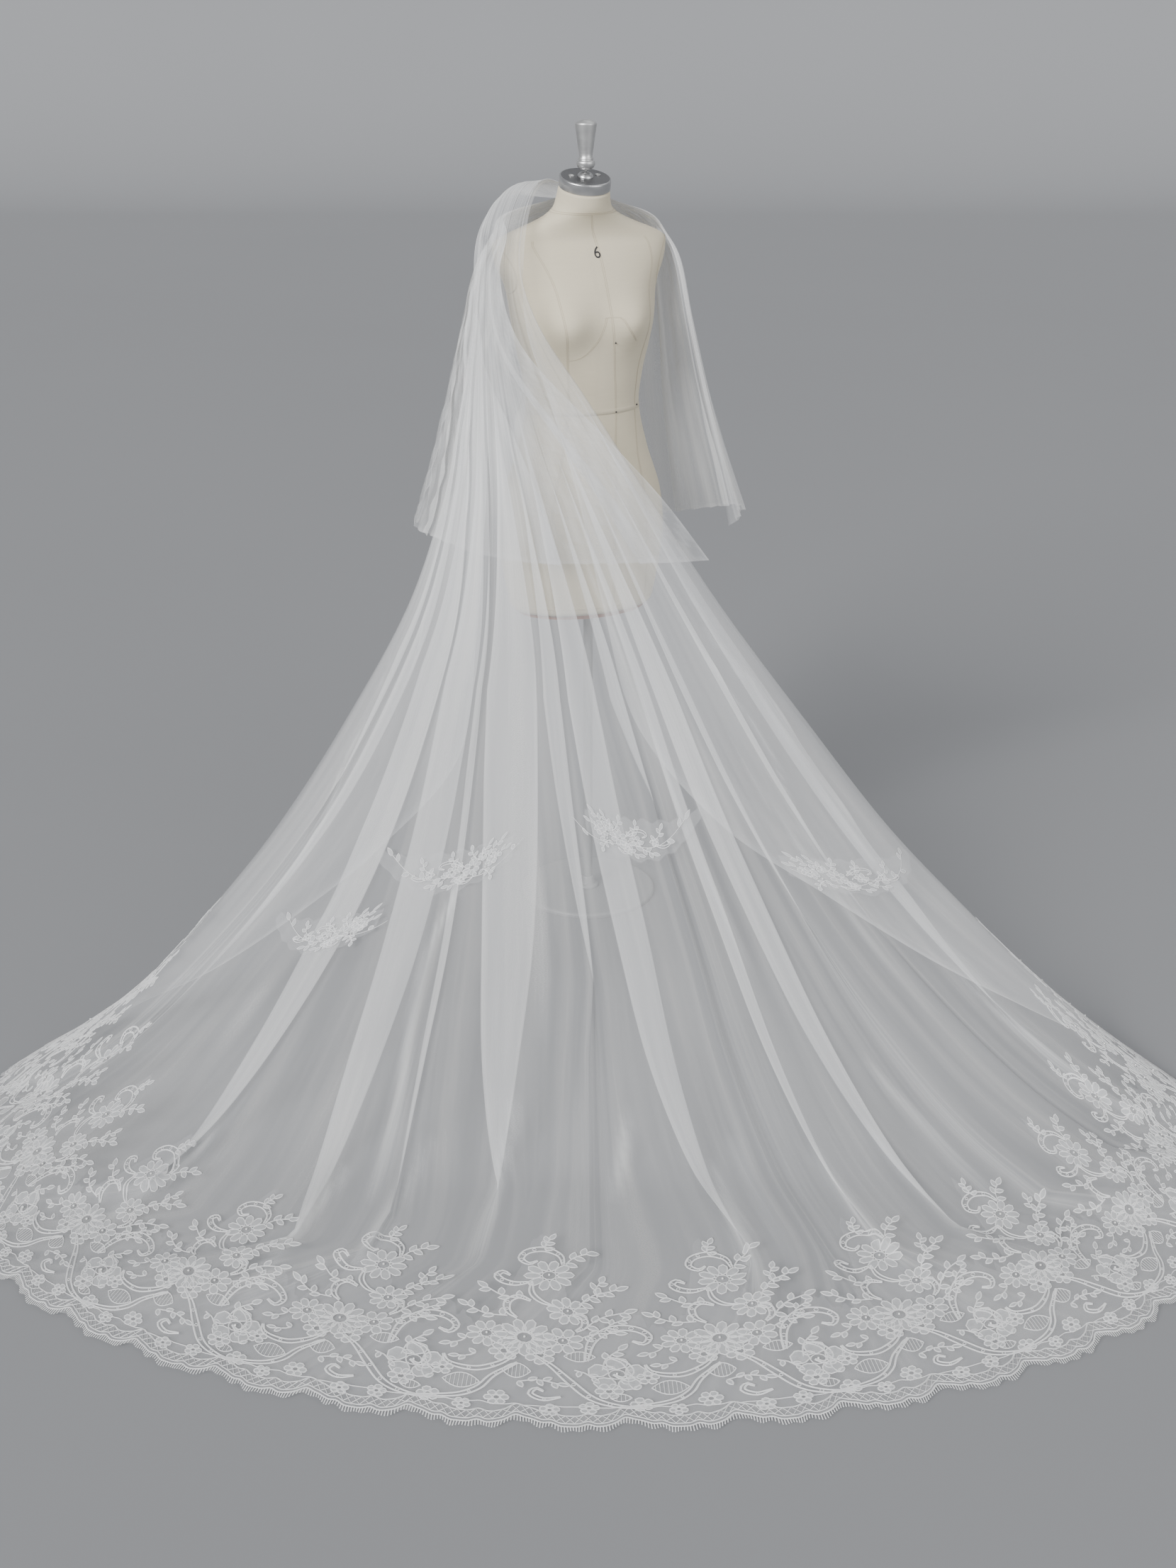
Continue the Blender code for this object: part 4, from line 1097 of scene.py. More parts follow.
class Motif:
    """Flat lace work, as points of (across, up, lift) in metres, with separate cords and fills."""

    def __init__(self) -> None:
        """Starts with nothing drawn."""
        self.stitch = 1.0
        self.cords: list = [[], []]
        self.fills: list = [[], []]
        self.pearls: list[tuple[float, float]] = []

    def cord(self, path: np.ndarray, width: float = 0.0017, height: float = 0.0010, closed: bool = False) -> None:
        """Lays a rounded cord along a path.

        Args:
            path: Its points, two coordinates each.
            width: How wide it is.
            height: How far its middle stands up.
            closed: Whether its ends meet.
        """
        width, height = width * self.stitch, height * self.stitch
        path = np.asarray(path, float)
        if closed:
            path = np.concatenate((path, path[:1]))
        side = left_of(path, closed) * width / 2
        points, faces = self.cords
        first = len(points)
        for spot, out in zip(path, side):
            points.append((*(spot + out), 0.0006))
            points.append((*spot, 0.0006 + height))
            points.append((*(spot - out), 0.0006))
        for i in range(len(path) - 1):
            at = first + 3 * i
            faces += [(at, at + 1, at + 4, at + 3), (at + 1, at + 2, at + 5, at + 4)]

    def fill(self, outline: np.ndarray, bulge: float = 0.0008) -> None:
        """Fills an outline with stitches that rise to its middle."""
        points, faces = self.fills
        first, count = len(points), len(outline)
        points += [(x, y, 0.0006) for x, y in outline]
        points.append((*np.mean(outline, axis=0), 0.0006 + bulge))
        faces += [(first + i, first + (i + 1) % count, first + count) for i in range(count)]

    def petal(self, root: tuple, angle: float, length: float, width: float, blunt: bool = False) -> None:
        """Draws one leaf, or one blunt petal, from its root."""
        t = np.linspace(0, 1, 7)
        leaf, petal = np.sin(math.pi * t**0.85) ** 0.8, np.sqrt(1 - np.abs(2 * t**1.25 - 1) ** 2.6)
        half = width / 2 * (petal if blunt else leaf)
        along = np.concatenate((t, t[-2:0:-1])) * length
        across = np.concatenate((-half, half[-2:0:-1]))
        c, s = math.cos(angle), math.sin(angle)
        outline = np.stack((root[0] + along * c - across * s, root[1] + along * s + across * c), axis=1)
        self.fill(outline)
        self.cord(outline, 0.0022, 0.0011, True)

    def ring(self, centre: tuple, radius: float, count: int = 12, width: float = 0.0015) -> None:
        """Draws a round cord."""
        turn = np.linspace(0, 2 * math.pi, count, endpoint=False)
        circle = np.stack((centre[0] + radius * np.cos(turn), centre[1] + radius * np.sin(turn)), axis=1)
        self.cord(circle, width, 0.0009, True)

    def flower(self, centre: tuple, radius: float, petals: int, turn: float = 0.0, double: bool = False) -> None:
        """Draws a flower with a net centre, and a second ring of petals if it is double."""
        for k in range(petals):
            angle = turn + 2 * math.pi * k / petals
            heart = 0.30 * radius
            root = (centre[0] + heart * math.cos(angle), centre[1] + heart * math.sin(angle))
            wide = min(2 * math.pi * 0.62 * radius / petals * 0.92, 0.75 * radius)
            self.petal(root, angle, radius - heart, wide, True)
        self.ring(centre, 0.28 * radius, 10, 0.0018)
        if double:
            for k in range(petals):
                angle = turn + math.pi * (2 * k + 1) / petals
                root = (centre[0] + 0.28 * radius * math.cos(angle), centre[1] + 0.28 * radius * math.sin(angle))
                self.petal(root, angle, 0.34 * radius, 1.25 * radius / petals, True)
        if radius > 0.02:
            self.pearls.append((centre[0], centre[1]))

    def sprig(self, start: tuple, end: tuple, leaves: int, size: float, curl: float = 0.12) -> None:
        """Draws a stem with leaves on both sides and one at its tip."""
        start, end = np.array(start), np.array(end)
        ahead = end - start
        side = np.array((-ahead[1], ahead[0]))
        path = smooth_path((start, start + ahead * 0.5 + side * curl, end), 0.006)
        self.cord(path, 0.0024)
        angle = math.atan2(*(path[-1] - path[-2])[::-1])
        self.petal(tuple(path[-1]), angle, size, size * 0.46)
        for k in range(leaves):
            spot = path[int((k + 0.6) / leaves * (len(path) - 1))]
            lean = angle + (0.85 if k % 2 else -0.85)
            self.petal(tuple(spot), lean, size * 0.85, size * 0.46)

    def scroll(self, control: tuple, gap: float, rungs: int) -> None:
        """Draws a scroll of two cords with small loops between them.

        Args:
            control: The points that its middle follows.
            gap: The distance between its cords at the widest.
            rungs: How many loops it has.
        """
        path = smooth_path(control, 0.005)
        swell = np.sin(math.pi * np.linspace(0.08, 0.95, len(path)))[:, None] * gap / 2
        for side in (left_of(path), -left_of(path)):
            self.cord(path + side * swell, 0.0030, 0.0013)
        for k in range(rungs):
            i = int((k + 0.7) / rungs * (len(path) - 1))
            self.ring(tuple(path[i]), max(gap * 0.28, 0.0014), 7, 0.0011)

    def hatch(self, centre: tuple, width: float, height: float, lines: int) -> None:
        """Draws a lens of straight drawn threads."""
        t = np.linspace(-1, 1, 9)
        for sign in (-1, 1):
            edge = np.stack((centre[0] + t * width / 2, centre[1] + sign * (1 - t**2) * height / 2), axis=1)
            self.cord(edge, 0.0018)
        for k in range(lines):
            x = -0.8 + 1.6 * k / (lines - 1)
            reach = (1 - x * x) * height / 2
            thread = [(centre[0] + x * width / 2, centre[1] - reach), (centre[0] + x * width / 2, centre[1] + reach)]
            self.cord(np.array(thread), 0.0009, 0.0005)


# One repeat of the hem, in metres from its main peak's axis and up from the hem. Flowers have a
# radius, petals, a turn and whether they are double. Scrolls have a gap and rungs, sprigs have
# leaves and their size, and hatches have a width, a height and lines.
HEM_FLOWERS = (
    (0.016, 0.323, 0.037, 10, 0.1, False),
    (0.045, 0.247, 0.029, 9, 0.3, False),
    (-0.010, 0.182, 0.039, 11, 0.2, True),
    (-0.060, 0.184, 0.028, 9, 0.0, False),
    (0.040, 0.182, 0.028, 8, 0.4, False),
    (-0.034, 0.150, 0.020, 6, 0.2, False),
    (0.012, 0.148, 0.020, 6, 0.5, False),
    (-0.146, 0.112, 0.037, 5, 0.3, False),
    (-0.108, 0.104, 0.014, 5, 0.3, False),
    (0.098, 0.076, 0.017, 6, 0.0, False),
    (0.074, 0.040, 0.012, 5, 0.2, False),
    (-0.118, 0.048, 0.014, 5, 0.6, False),
    (-0.036, 0.054, 0.015, 6, 0.1, False),
    (0.028, 0.034, 0.012, 5, 0.3, False),
    (-0.076, 0.036, 0.011, 5, 0.9, False),
)
HEM_SCROLLS = (
    (
        ((0.036, 0.350), (0.030, 0.374), (0.006, 0.388), (-0.020, 0.381), (-0.029, 0.362),
         (-0.016, 0.350), (-0.004, 0.358)),
        0.011, 7,
    ),
    (
        ((-0.012, 0.304), (-0.032, 0.299), (-0.050, 0.304), (-0.060, 0.316), (-0.052, 0.326), (-0.040, 0.318)),
        0.010, 5,
    ),
    (((-0.008, 0.306), (-0.006, 0.280), (0.008, 0.262), (0.026, 0.254)), 0.007, 0),
    (((-0.006, 0.262), (-0.024, 0.270), (-0.038, 0.258), (-0.036, 0.236), (-0.022, 0.222)), 0.009, 5),
    (((0.056, 0.205), (0.068, 0.219), (0.066, 0.238), (0.052, 0.242)), 0.008, 3),
    (
        ((-0.184, 0.140), (-0.176, 0.186), (-0.150, 0.214), (-0.120, 0.214), (-0.102, 0.197),
         (-0.109, 0.180), (-0.124, 0.186)),
        0.012, 9,
    ),
    (
        ((-0.110, 0.132), (-0.104, 0.118), (-0.086, 0.110), (-0.062, 0.110), (-0.036, 0.126), (-0.018, 0.148)),
        0.008, 4,
    ),
    (((0.006, 0.146), (0.028, 0.126), (0.050, 0.096), (0.076, 0.062), (0.104, 0.046), (0.138, 0.040)), 0.009, 6),
    (((-0.016, 0.128), (-0.044, 0.098), (-0.060, 0.070), (-0.086, 0.052), (-0.138, 0.042)), 0.007, 3),
    (((0.100, 0.150), (0.118, 0.138), (0.126, 0.118), (0.116, 0.104), (0.104, 0.112)), 0.007, 3),
    (((0.040, 0.062), (0.020, 0.056), (0.004, 0.066), (0.010, 0.078), (0.020, 0.072)), 0.006, 2),
)
HEM_SPRIGS = (
    ((0.006, 0.388), (0.012, 0.414), 4, 0.018),
    ((0.040, 0.354), (0.070, 0.380), 4, 0.022),
    ((0.060, 0.264), (0.112, 0.306), 6, 0.021),
    ((0.086, 0.286), (0.090, 0.322), 3, 0.018),
    ((-0.016, 0.266), (-0.070, 0.286), 4, 0.020),
    ((-0.036, 0.226), (-0.092, 0.242), 5, 0.019),
    ((0.068, 0.214), (0.122, 0.252), 5, 0.020),
    ((0.064, 0.192), (0.108, 0.204), 4, 0.017),
    ((-0.160, 0.208), (-0.136, 0.234), 3, 0.015),
    ((-0.086, 0.170), (-0.104, 0.158), 2, 0.016),
    ((-0.012, 0.090), (0.036, 0.090), 5, 0.015),
    ((0.090, 0.120), (0.112, 0.166), 3, 0.018),
    ((0.128, 0.080), (0.122, 0.104), 3, 0.014),
    ((-0.070, 0.140), (-0.090, 0.132), 2, 0.014),
    ((0.056, 0.120), (0.078, 0.104), 2, 0.014),
)
HEM_HATCHES = (
    (-0.082, 0.082, 0.046, 0.030, 8),
    (-0.016, 0.112, 0.036, 0.030, 7),
    (0.062, 0.150, 0.040, 0.022, 7),
    (0.112, 0.062, 0.026, 0.016, 5),
)


class LacePart(Enum):
    """The two sorts of stitching that a lace motif has."""

    CORDS = "cords"
    FILLS = "fills"


@dataclass
class LaceHem:
    """The corded lace border along the long tier's hem, with its net, edge, fringe and pearls."""

    hem: HemMap
    repeats: float = 14.6
    offset: float = 0.001
    peak: float = 0.43
    low_peak: float = 0.25
    valley: float = 0.20
    lash: float = 0.011
    lash_step: float = 0.0034
    net_columns: int = 1100
    net_rows: int = 22

    def ground_height(self, share: np.ndarray) -> np.ndarray:
        """How far up the cloth the lace's own net reaches."""
        phase = ((share - self.offset) * self.repeats + 0.5) % 1.0 - 0.5
        main = np.exp(-((phase / 0.19) ** 2) * 1.4) * np.where(np.abs(phase) < 0.40, 1, 0.9)
        low = np.exp(-(((np.abs(phase) - 0.5) / 0.13) ** 2))
        ragged = 0.008 * np.sin(share * 900) + 0.006 * np.sin(share * 1730 + 1)
        return self.valley + (self.peak - self.valley) * main + (self.low_peak - self.valley) * low + ragged

    def motif(self) -> Motif:
        """Draws one repeat."""
        drawn = Motif()
        for x, up, radius, petals, turn, double in HEM_FLOWERS:
            drawn.flower((x, up), radius, petals, turn, double)
        for control, gap, rungs in HEM_SCROLLS:
            drawn.scroll(control, gap, rungs)
        for start, end, leaves, size in HEM_SPRIGS:
            drawn.sprig(start, end, leaves, size)
        for x, up, width, height, lines in HEM_HATCHES:
            drawn.hatch((x, up), width, height, lines)
        return drawn

    def repeat(self, name: str, points: list, faces: list, finish: Finish) -> bpy.types.Object:
        """Lays one part of the motif along the whole hem."""
        flat = np.array(points, float)
        per_metre = 1 / self.hem.length
        all_points, all_faces, places, total = [], [], [], 0
        for k in range(-1, int(self.repeats) + 2):
            share = self.offset + k / self.repeats + flat[:, 0] * per_metre
            inside = (share > 0.0015) & (share < 0.9985)
            kept = [face for face in faces if all(inside[i] for i in face)]
            if not kept:
                continue
            all_points.append(self.hem.place(share, flat[:, 1], flat[:, 2]))
            all_faces += [tuple(i + total for i in face) for face in kept]
            places.append(flat[:, :2] + (k * 0.27, 0))
            total += len(flat)
        piece = mesh_piece(name, np.concatenate(all_points), all_faces, finish)
        give_uv(piece, np.concatenate(places))
        tidy_loose(piece)
        return piece

    def band(self, name: str, lines: list[tuple[np.ndarray, np.ndarray, float]], finish: Finish) -> bpy.types.Object:
        """Lays flat threads along the hem.

        Args:
            name: The piece's name.
            lines: Each thread's shares, heights and width.
            finish: Its finish.
        Returns:
            The piece.
        """
        points, faces, places, total = [], [], [], 0
        for share, height, width in lines:
            along = np.gradient(share) * self.hem.length
            up = np.gradient(height)
            size = np.maximum(np.hypot(along, up), 1e-9)
            side_share, side_up = -up / size * width / 2 / self.hem.length, along / size * width / 2
            rows = []
            for sign, lift in ((1, 0.0006), (0, 0.0016), (-1, 0.0006)):
                spots = self.hem.place(share + sign * side_share, height + sign * side_up, np.full_like(share, lift))
                rows.append(spots)
                places.append(np.stack((share * self.hem.length, height + sign * width), axis=1))
            points += rows
            count = len(share)
            for row in range(2):
                first = total + row * count + np.arange(count - 1)
                faces += np.stack((first, first + count, first + count + 1, first + 1), axis=1).tolist()
            total += 3 * count
        piece = mesh_piece(name, np.concatenate(points), faces, finish)
        give_uv(piece, np.concatenate(places))
        return piece

    def ground(self) -> bpy.types.Object:
        """Builds the lace's own net, which stands for the border's solid."""
        share = np.linspace(0.0, 1.0, self.net_columns)
        top, edge = self.ground_height(share), self.hem.edge(share)
        heights = np.array([edge + (top - edge) * t for t in np.linspace(1, 0, self.net_rows)])
        points = np.array([self.hem.place(share, height, np.full_like(share, 0.0005)) for height in heights])
        faces = grid_faces(self.net_rows, self.net_columns)
        piece = mesh_piece("lace_border_net", points.reshape(-1, 3), faces, Finish.LACE_NET)
        across = np.broadcast_to(share * self.hem.length, heights.shape)
        give_uv(piece, np.stack((across, heights), axis=-1).reshape(-1, 2))
        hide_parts("lace_border")
        return piece

    def edging(self) -> bpy.types.Object:
        """Builds the double cord with its row of cells along the scalloped edge."""
        share = np.linspace(0.0005, 0.9995, 1500)
        edge = self.hem.edge(share)
        lines = [(share, edge + 0.0012, 0.0026), (share, edge + 0.0070, 0.0016), (share, edge + 0.0230, 0.0024)]
        inner = 0.032 + 0.010 * np.abs(np.sin(math.pi * self.repeats * 2 * share))
        lines.append((share, inner + edge * 0.5, 0.0016))
        cells = np.arange(0.001, 0.999, 0.0105 / self.hem.length)
        for shift in (0, 1):
            zigzag = np.where((np.arange(len(cells)) + shift) % 2, 0.0076, 0.0224)
            lines.append((cells, self.hem.edge(cells) + zigzag, 0.0011))
        return self.band("lace_edging", lines, Finish.LACE_CORD)

    def fringe(self) -> bpy.types.Object:
        """Builds the eyelash fringe outside the edging."""
        share = np.arange(0.001, 0.999, self.lash_step / self.hem.length)
        edge, half = self.hem.edge(share), 0.0007 / self.hem.length
        lean = np.sin(np.arange(len(share)) * 12.9898) * 0.0009 / self.hem.length
        low = self.lash * (0.82 + 0.18 * np.sin(np.arange(len(share)) * 7.13))
        flat = np.full_like(share, 0.0004)
        corners = [
            self.hem.place(share - half, edge + 0.001, flat),
            self.hem.place(share - half + lean, edge - low, flat),
            self.hem.place(share + half + lean, edge - low, flat),
            self.hem.place(share + half, edge + 0.001, flat),
        ]
        points = np.stack(corners, axis=1).reshape(-1, 3)
        faces = np.arange(len(points)).reshape(-1, 4)
        piece = mesh_piece("lace_eyelash_fringe", points, faces, Finish.LACE_CORD)
        give_uv(piece, np.stack((points[:, 0], points[:, 1]), axis=1))
        return piece

    def build(self) -> list[bpy.types.Object]:
        """Builds the whole border.

        Returns:
            Its pieces.
        """
        drawn = self.motif()
        pieces = [
            self.ground(),
            self.repeat("lace_border_cords", *drawn.cords, Finish.LACE_CORD),
            self.repeat("lace_border_petals", *drawn.fills, Finish.LACE_FILL),
            self.edging(),
            self.fringe(),
        ]
        spots = []
        for k in range(-1, int(self.repeats) + 2):
            for x, up in drawn.pearls:
                share = self.offset + k / self.repeats + x / self.hem.length
                if 0.003 < share < 0.997:
                    spots.append((share, up))
        share, up = np.array(spots).T
        pieces.append(pearl_piece("lace_border_pearls", self.hem.place(share, up, np.full_like(share, 0.002)), 0.0020))
        return pieces


def tidy_loose(piece: bpy.types.Object) -> None:
    """Removes the points of a piece that no face uses."""
    shape = bmesh.new()
    shape.from_mesh(piece.data)
    loose = [vert for vert in shape.verts if not vert.link_faces]
    bmesh.ops.delete(shape, geom=loose, context="VERTS")
    shape.to_mesh(piece.data)
    shape.free()


def pearl_piece(name: str, centres: np.ndarray, radius: float, finish: Finish = Finish.PEARL) -> bpy.types.Object:
    """Makes one piece of small round beads."""
    ball = bmesh.new()
    bmesh.ops.create_icosphere(ball, subdivisions=1, radius=radius)
    ball_points = np.array([vert.co for vert in ball.verts])
    ball_faces = [[vert.index for vert in face.verts] for face in ball.faces]
    ball.free()
    points = (centres[:, None, :] + ball_points[None]).reshape(-1, 3)
    count = len(ball_points)
    faces = [[i + k * count for i in face] for k in range(len(centres)) for face in ball_faces]
    return mesh_piece(name, points, faces, finish)


@dataclass
class LaceSpray:
    """One crescent of lace leaves and flowers in the middle of the long tier."""

    cloth: LongTier
    number: int
    lift: float = 0.0012
    rise: float = 0.74
    small: float = 0.84
    stitch: float = 0.55

    def __post_init__(self) -> None:
        """Reads the cloth round the spray into a small table of places."""
        spray = dict(zip(SPRAY_COLUMNS, SPRAYS[self.number - 1]))
        self.alongs, self.ups = np.linspace(-0.14, 1.14, 49), np.linspace(-0.08, 0.08, 17)
        self.spots = np.empty((len(self.alongs), len(self.ups), 3))
        self.outward = np.empty_like(self.spots)
        for i, along in enumerate(self.alongs):
            at = np.array([spray["start_share"] + (spray["end_share"] - spray["start_share"]) * along])
            middle = spray["start_row"] + (spray["end_row"] - spray["start_row"]) * along
            middle += SPRAY_BOW * (1 - (2 * along - 1) ** 2)
            metre = np.linalg.norm(self.cloth.base(at, middle + 0.05) - self.cloth.base(at, middle - 0.05)) / 0.1
            for j, up in enumerate(self.ups):
                row = middle - up / metre
                self.spots[i, j] = self.cloth.base(at, row)[0]
                self.outward[i, j] = -self.cloth.inward(at, row)[0]

    def place(self, points: np.ndarray) -> np.ndarray:
        """World points of (along, up, lift) points of the spray."""
        column = np.interp(points[:, 0], self.alongs, np.arange(len(self.alongs)))
        level = np.interp(points[:, 1], self.ups, np.arange(len(self.ups)))
        outward = read_between(self.outward, column, level)
        return read_between(self.spots, column, level) + outward * (points[:, 2:] + self.lift)

    def length(self) -> float:
        """How long the spray is on the cloth."""
        line = self.place(np.array([(t, 0.0, 0.0) for t in np.linspace(0, 1, 9)]))
        return float(np.linalg.norm(np.diff(line, axis=0), axis=1).sum())

    def motif(self, length: float) -> Motif:
        """Draws the crescent with its thick end on the right."""
        drawn = Motif()
        drawn.stitch = self.stitch
        drawn.sprig((0.20, 0.004), (0.03, 0.016), 5, 0.020)
        drawn.sprig((0.30, 0.000), (0.16, -0.006), 4, 0.015)
        for start, end, leaves, size in (
            ((0.46, 0.004), (0.38, 0.028), 3, 0.017),
            ((0.60, -0.004), (0.50, -0.030), 4, 0.018),
            ((0.74, -0.012), (0.62, -0.034), 4, 0.016),
            ((0.80, 0.020), (0.74, 0.052), 4, 0.016),
            ((0.86, 0.010), (0.95, 0.044), 5, 0.018),
            ((0.90, 0.000), (0.99, 0.012), 4, 0.016),
            ((0.66, 0.014), (0.60, 0.046), 4, 0.016),
            ((0.82, 0.016), (0.86, 0.050), 3, 0.015),
            ((0.84, -0.012), (0.90, -0.040), 4, 0.014),
        ):
            ends = [(along * length, up * self.rise) for along, up in (start, end)]
            drawn.sprig(*ends, leaves, size * self.small)
        for along, up, radius, petals in (
            (0.76, 0.004, 0.020, 8),
            (0.90, 0.004, 0.015, 6),
            (0.62, 0.004, 0.014, 6),
            (0.83, 0.028, 0.012, 5),
            (0.70, -0.020, 0.012, 5),
            (0.46, 0.000, 0.011, 5),
        ):
            drawn.flower((along * length, up * self.rise), radius * self.small, petals, 0.3 * along)
        for control, gap, rungs in (
            (((0.70, 0.012), (0.62, 0.032), (0.54, 0.030), (0.52, 0.018), (0.56, 0.014)), 0.007, 3),
            (((0.72, -0.006), (0.68, -0.026), (0.74, -0.034), (0.78, -0.024)), 0.006, 2),
            (((0.48, -0.004), (0.40, -0.018), (0.33, -0.014), (0.35, -0.006)), 0.006, 2),
        ):
            drawn.scroll(tuple((x * length, up * self.rise) for x, up in control), gap * self.small, rungs)
        drawn.pearls += [(0.5 * length, 0.0), (0.86 * length, -0.008), (0.68 * length, 0.0)]
        return drawn

    def build(self) -> list[bpy.types.Object]:
        """Builds the spray on its small net."""
        length = self.length()
        mirror = not SPRAYS[self.number - 1][SPRAY_COLUMNS.index("thick_end")]
        drawn = self.motif(length)
        pieces = []
        for part, finish in ((LacePart.CORDS, Finish.LACE_CORD), (LacePart.FILLS, Finish.LACE_FILL)):
            points, faces = drawn.cords if part is LacePart.CORDS else drawn.fills
            flat = self.across(np.array(points, float), length, mirror)
            faces = [face[::-1] for face in faces] if mirror else faces
            piece = mesh_piece(f"lace_spray_{self.number}_{part.value}", self.place(flat), faces, finish)
            give_uv(piece, flat[:, :2] * (length, 1))
            pieces.append(piece)
        pearls = np.array([(x, up, 0.0022) for x, up in drawn.pearls])
        spots = self.across(pearls, length, mirror)
        pieces.append(pearl_piece(f"lace_spray_{self.number}_pearls", self.place(spots), 0.0018))
        pieces.append(self.net(mirror))
        return pieces

    def across(self, points: np.ndarray, length: float, mirror: bool) -> np.ndarray:
        """Turns metres along the spray into shares of its length, from its own left end."""
        flat = points.copy()
        flat[:, 0] = flat[:, 0] / length
        if mirror:
            flat[:, 0] = 1 - flat[:, 0]
        return flat

    def net(self, mirror: bool) -> bpy.types.Object:
        """Builds the spray's own net, which stands for its solid."""
        t = np.linspace(-0.03, 1.05, 40)
        toward = 1 - t if mirror else t
        tall = 0.010 + 0.042 * np.clip(np.sin(math.pi * (0.06 + 0.72 * np.clip(toward, 0, 1))), 0, 1) ** 1.6
        rows = []
        for level in np.linspace(1, -0.8, 7):
            flat = np.stack((t, level * tall * (0.9 + 0.1 * np.sin(t * 40 + level)), np.full_like(t, -0.0006)), axis=1)
            rows.append(self.place(flat))
        points, faces = np.concatenate(rows), grid_faces(len(rows), len(t))
        piece = mesh_piece(f"lace_spray_{self.number}_net", points, faces, Finish.LACE_NET)
        give_uv(piece, points[:, (0, 2)])
        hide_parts(f"lace_spray_{self.number}")
        return piece


# The front seams of the linen cover as (x, z) points: centre front, both princess seams, the
# left cup's curve and the right cup's dart.
FRONT_SEAMS = (
    ((0.052, 0.690), (0.055, 0.85), (0.056, 1.00), (0.056, 1.106), (0.053, 1.20), (0.048, 1.29),
     (0.020, 1.42), (0.008, 1.486)),
    ((-0.070, 0.690), (-0.078, 0.85), (-0.055, 1.00), (-0.040, 1.106), (-0.040, 1.214),
     (-0.045, 1.290), (-0.076, 1.378), (-0.108, 1.438)),
    ((0.118, 0.690), (0.122, 0.85), (0.104, 1.00), (0.095, 1.106), (0.104, 1.20), (0.124, 1.29),
     (0.126, 1.38), (0.112, 1.438)),
    ((-0.041, 1.214), (-0.020, 1.217), (0.000, 1.229), (0.020, 1.252), (0.033, 1.280), (0.036, 1.296)),
    ((0.036, 1.296), (0.052, 1.297), (0.068, 1.294), (0.084, 1.270), (0.096, 1.247)),
)
PIN_PLACES = ((0.056, 1.104), (0.098, 1.109), (0.054, 1.246))

# The back princess seam as (x, z) points, and the (up, lift) section of the waist tape.
BACK_SEAM = (
    (0.080, 0.690), (0.084, 0.85), (0.066, 1.00), (0.054, 1.106), (0.064, 1.20), (0.080, 1.29),
    (0.088, 1.38), (0.084, 1.44),
)
TAPE_SECTION = ((0.0052, 0.0001), (0.0050, 0.0004), (0.0, 0.0004), (-0.0050, 0.0004), (-0.0052, 0.0001))
WAIST_Z = 1.106
MEAN_RADIUS = 0.13


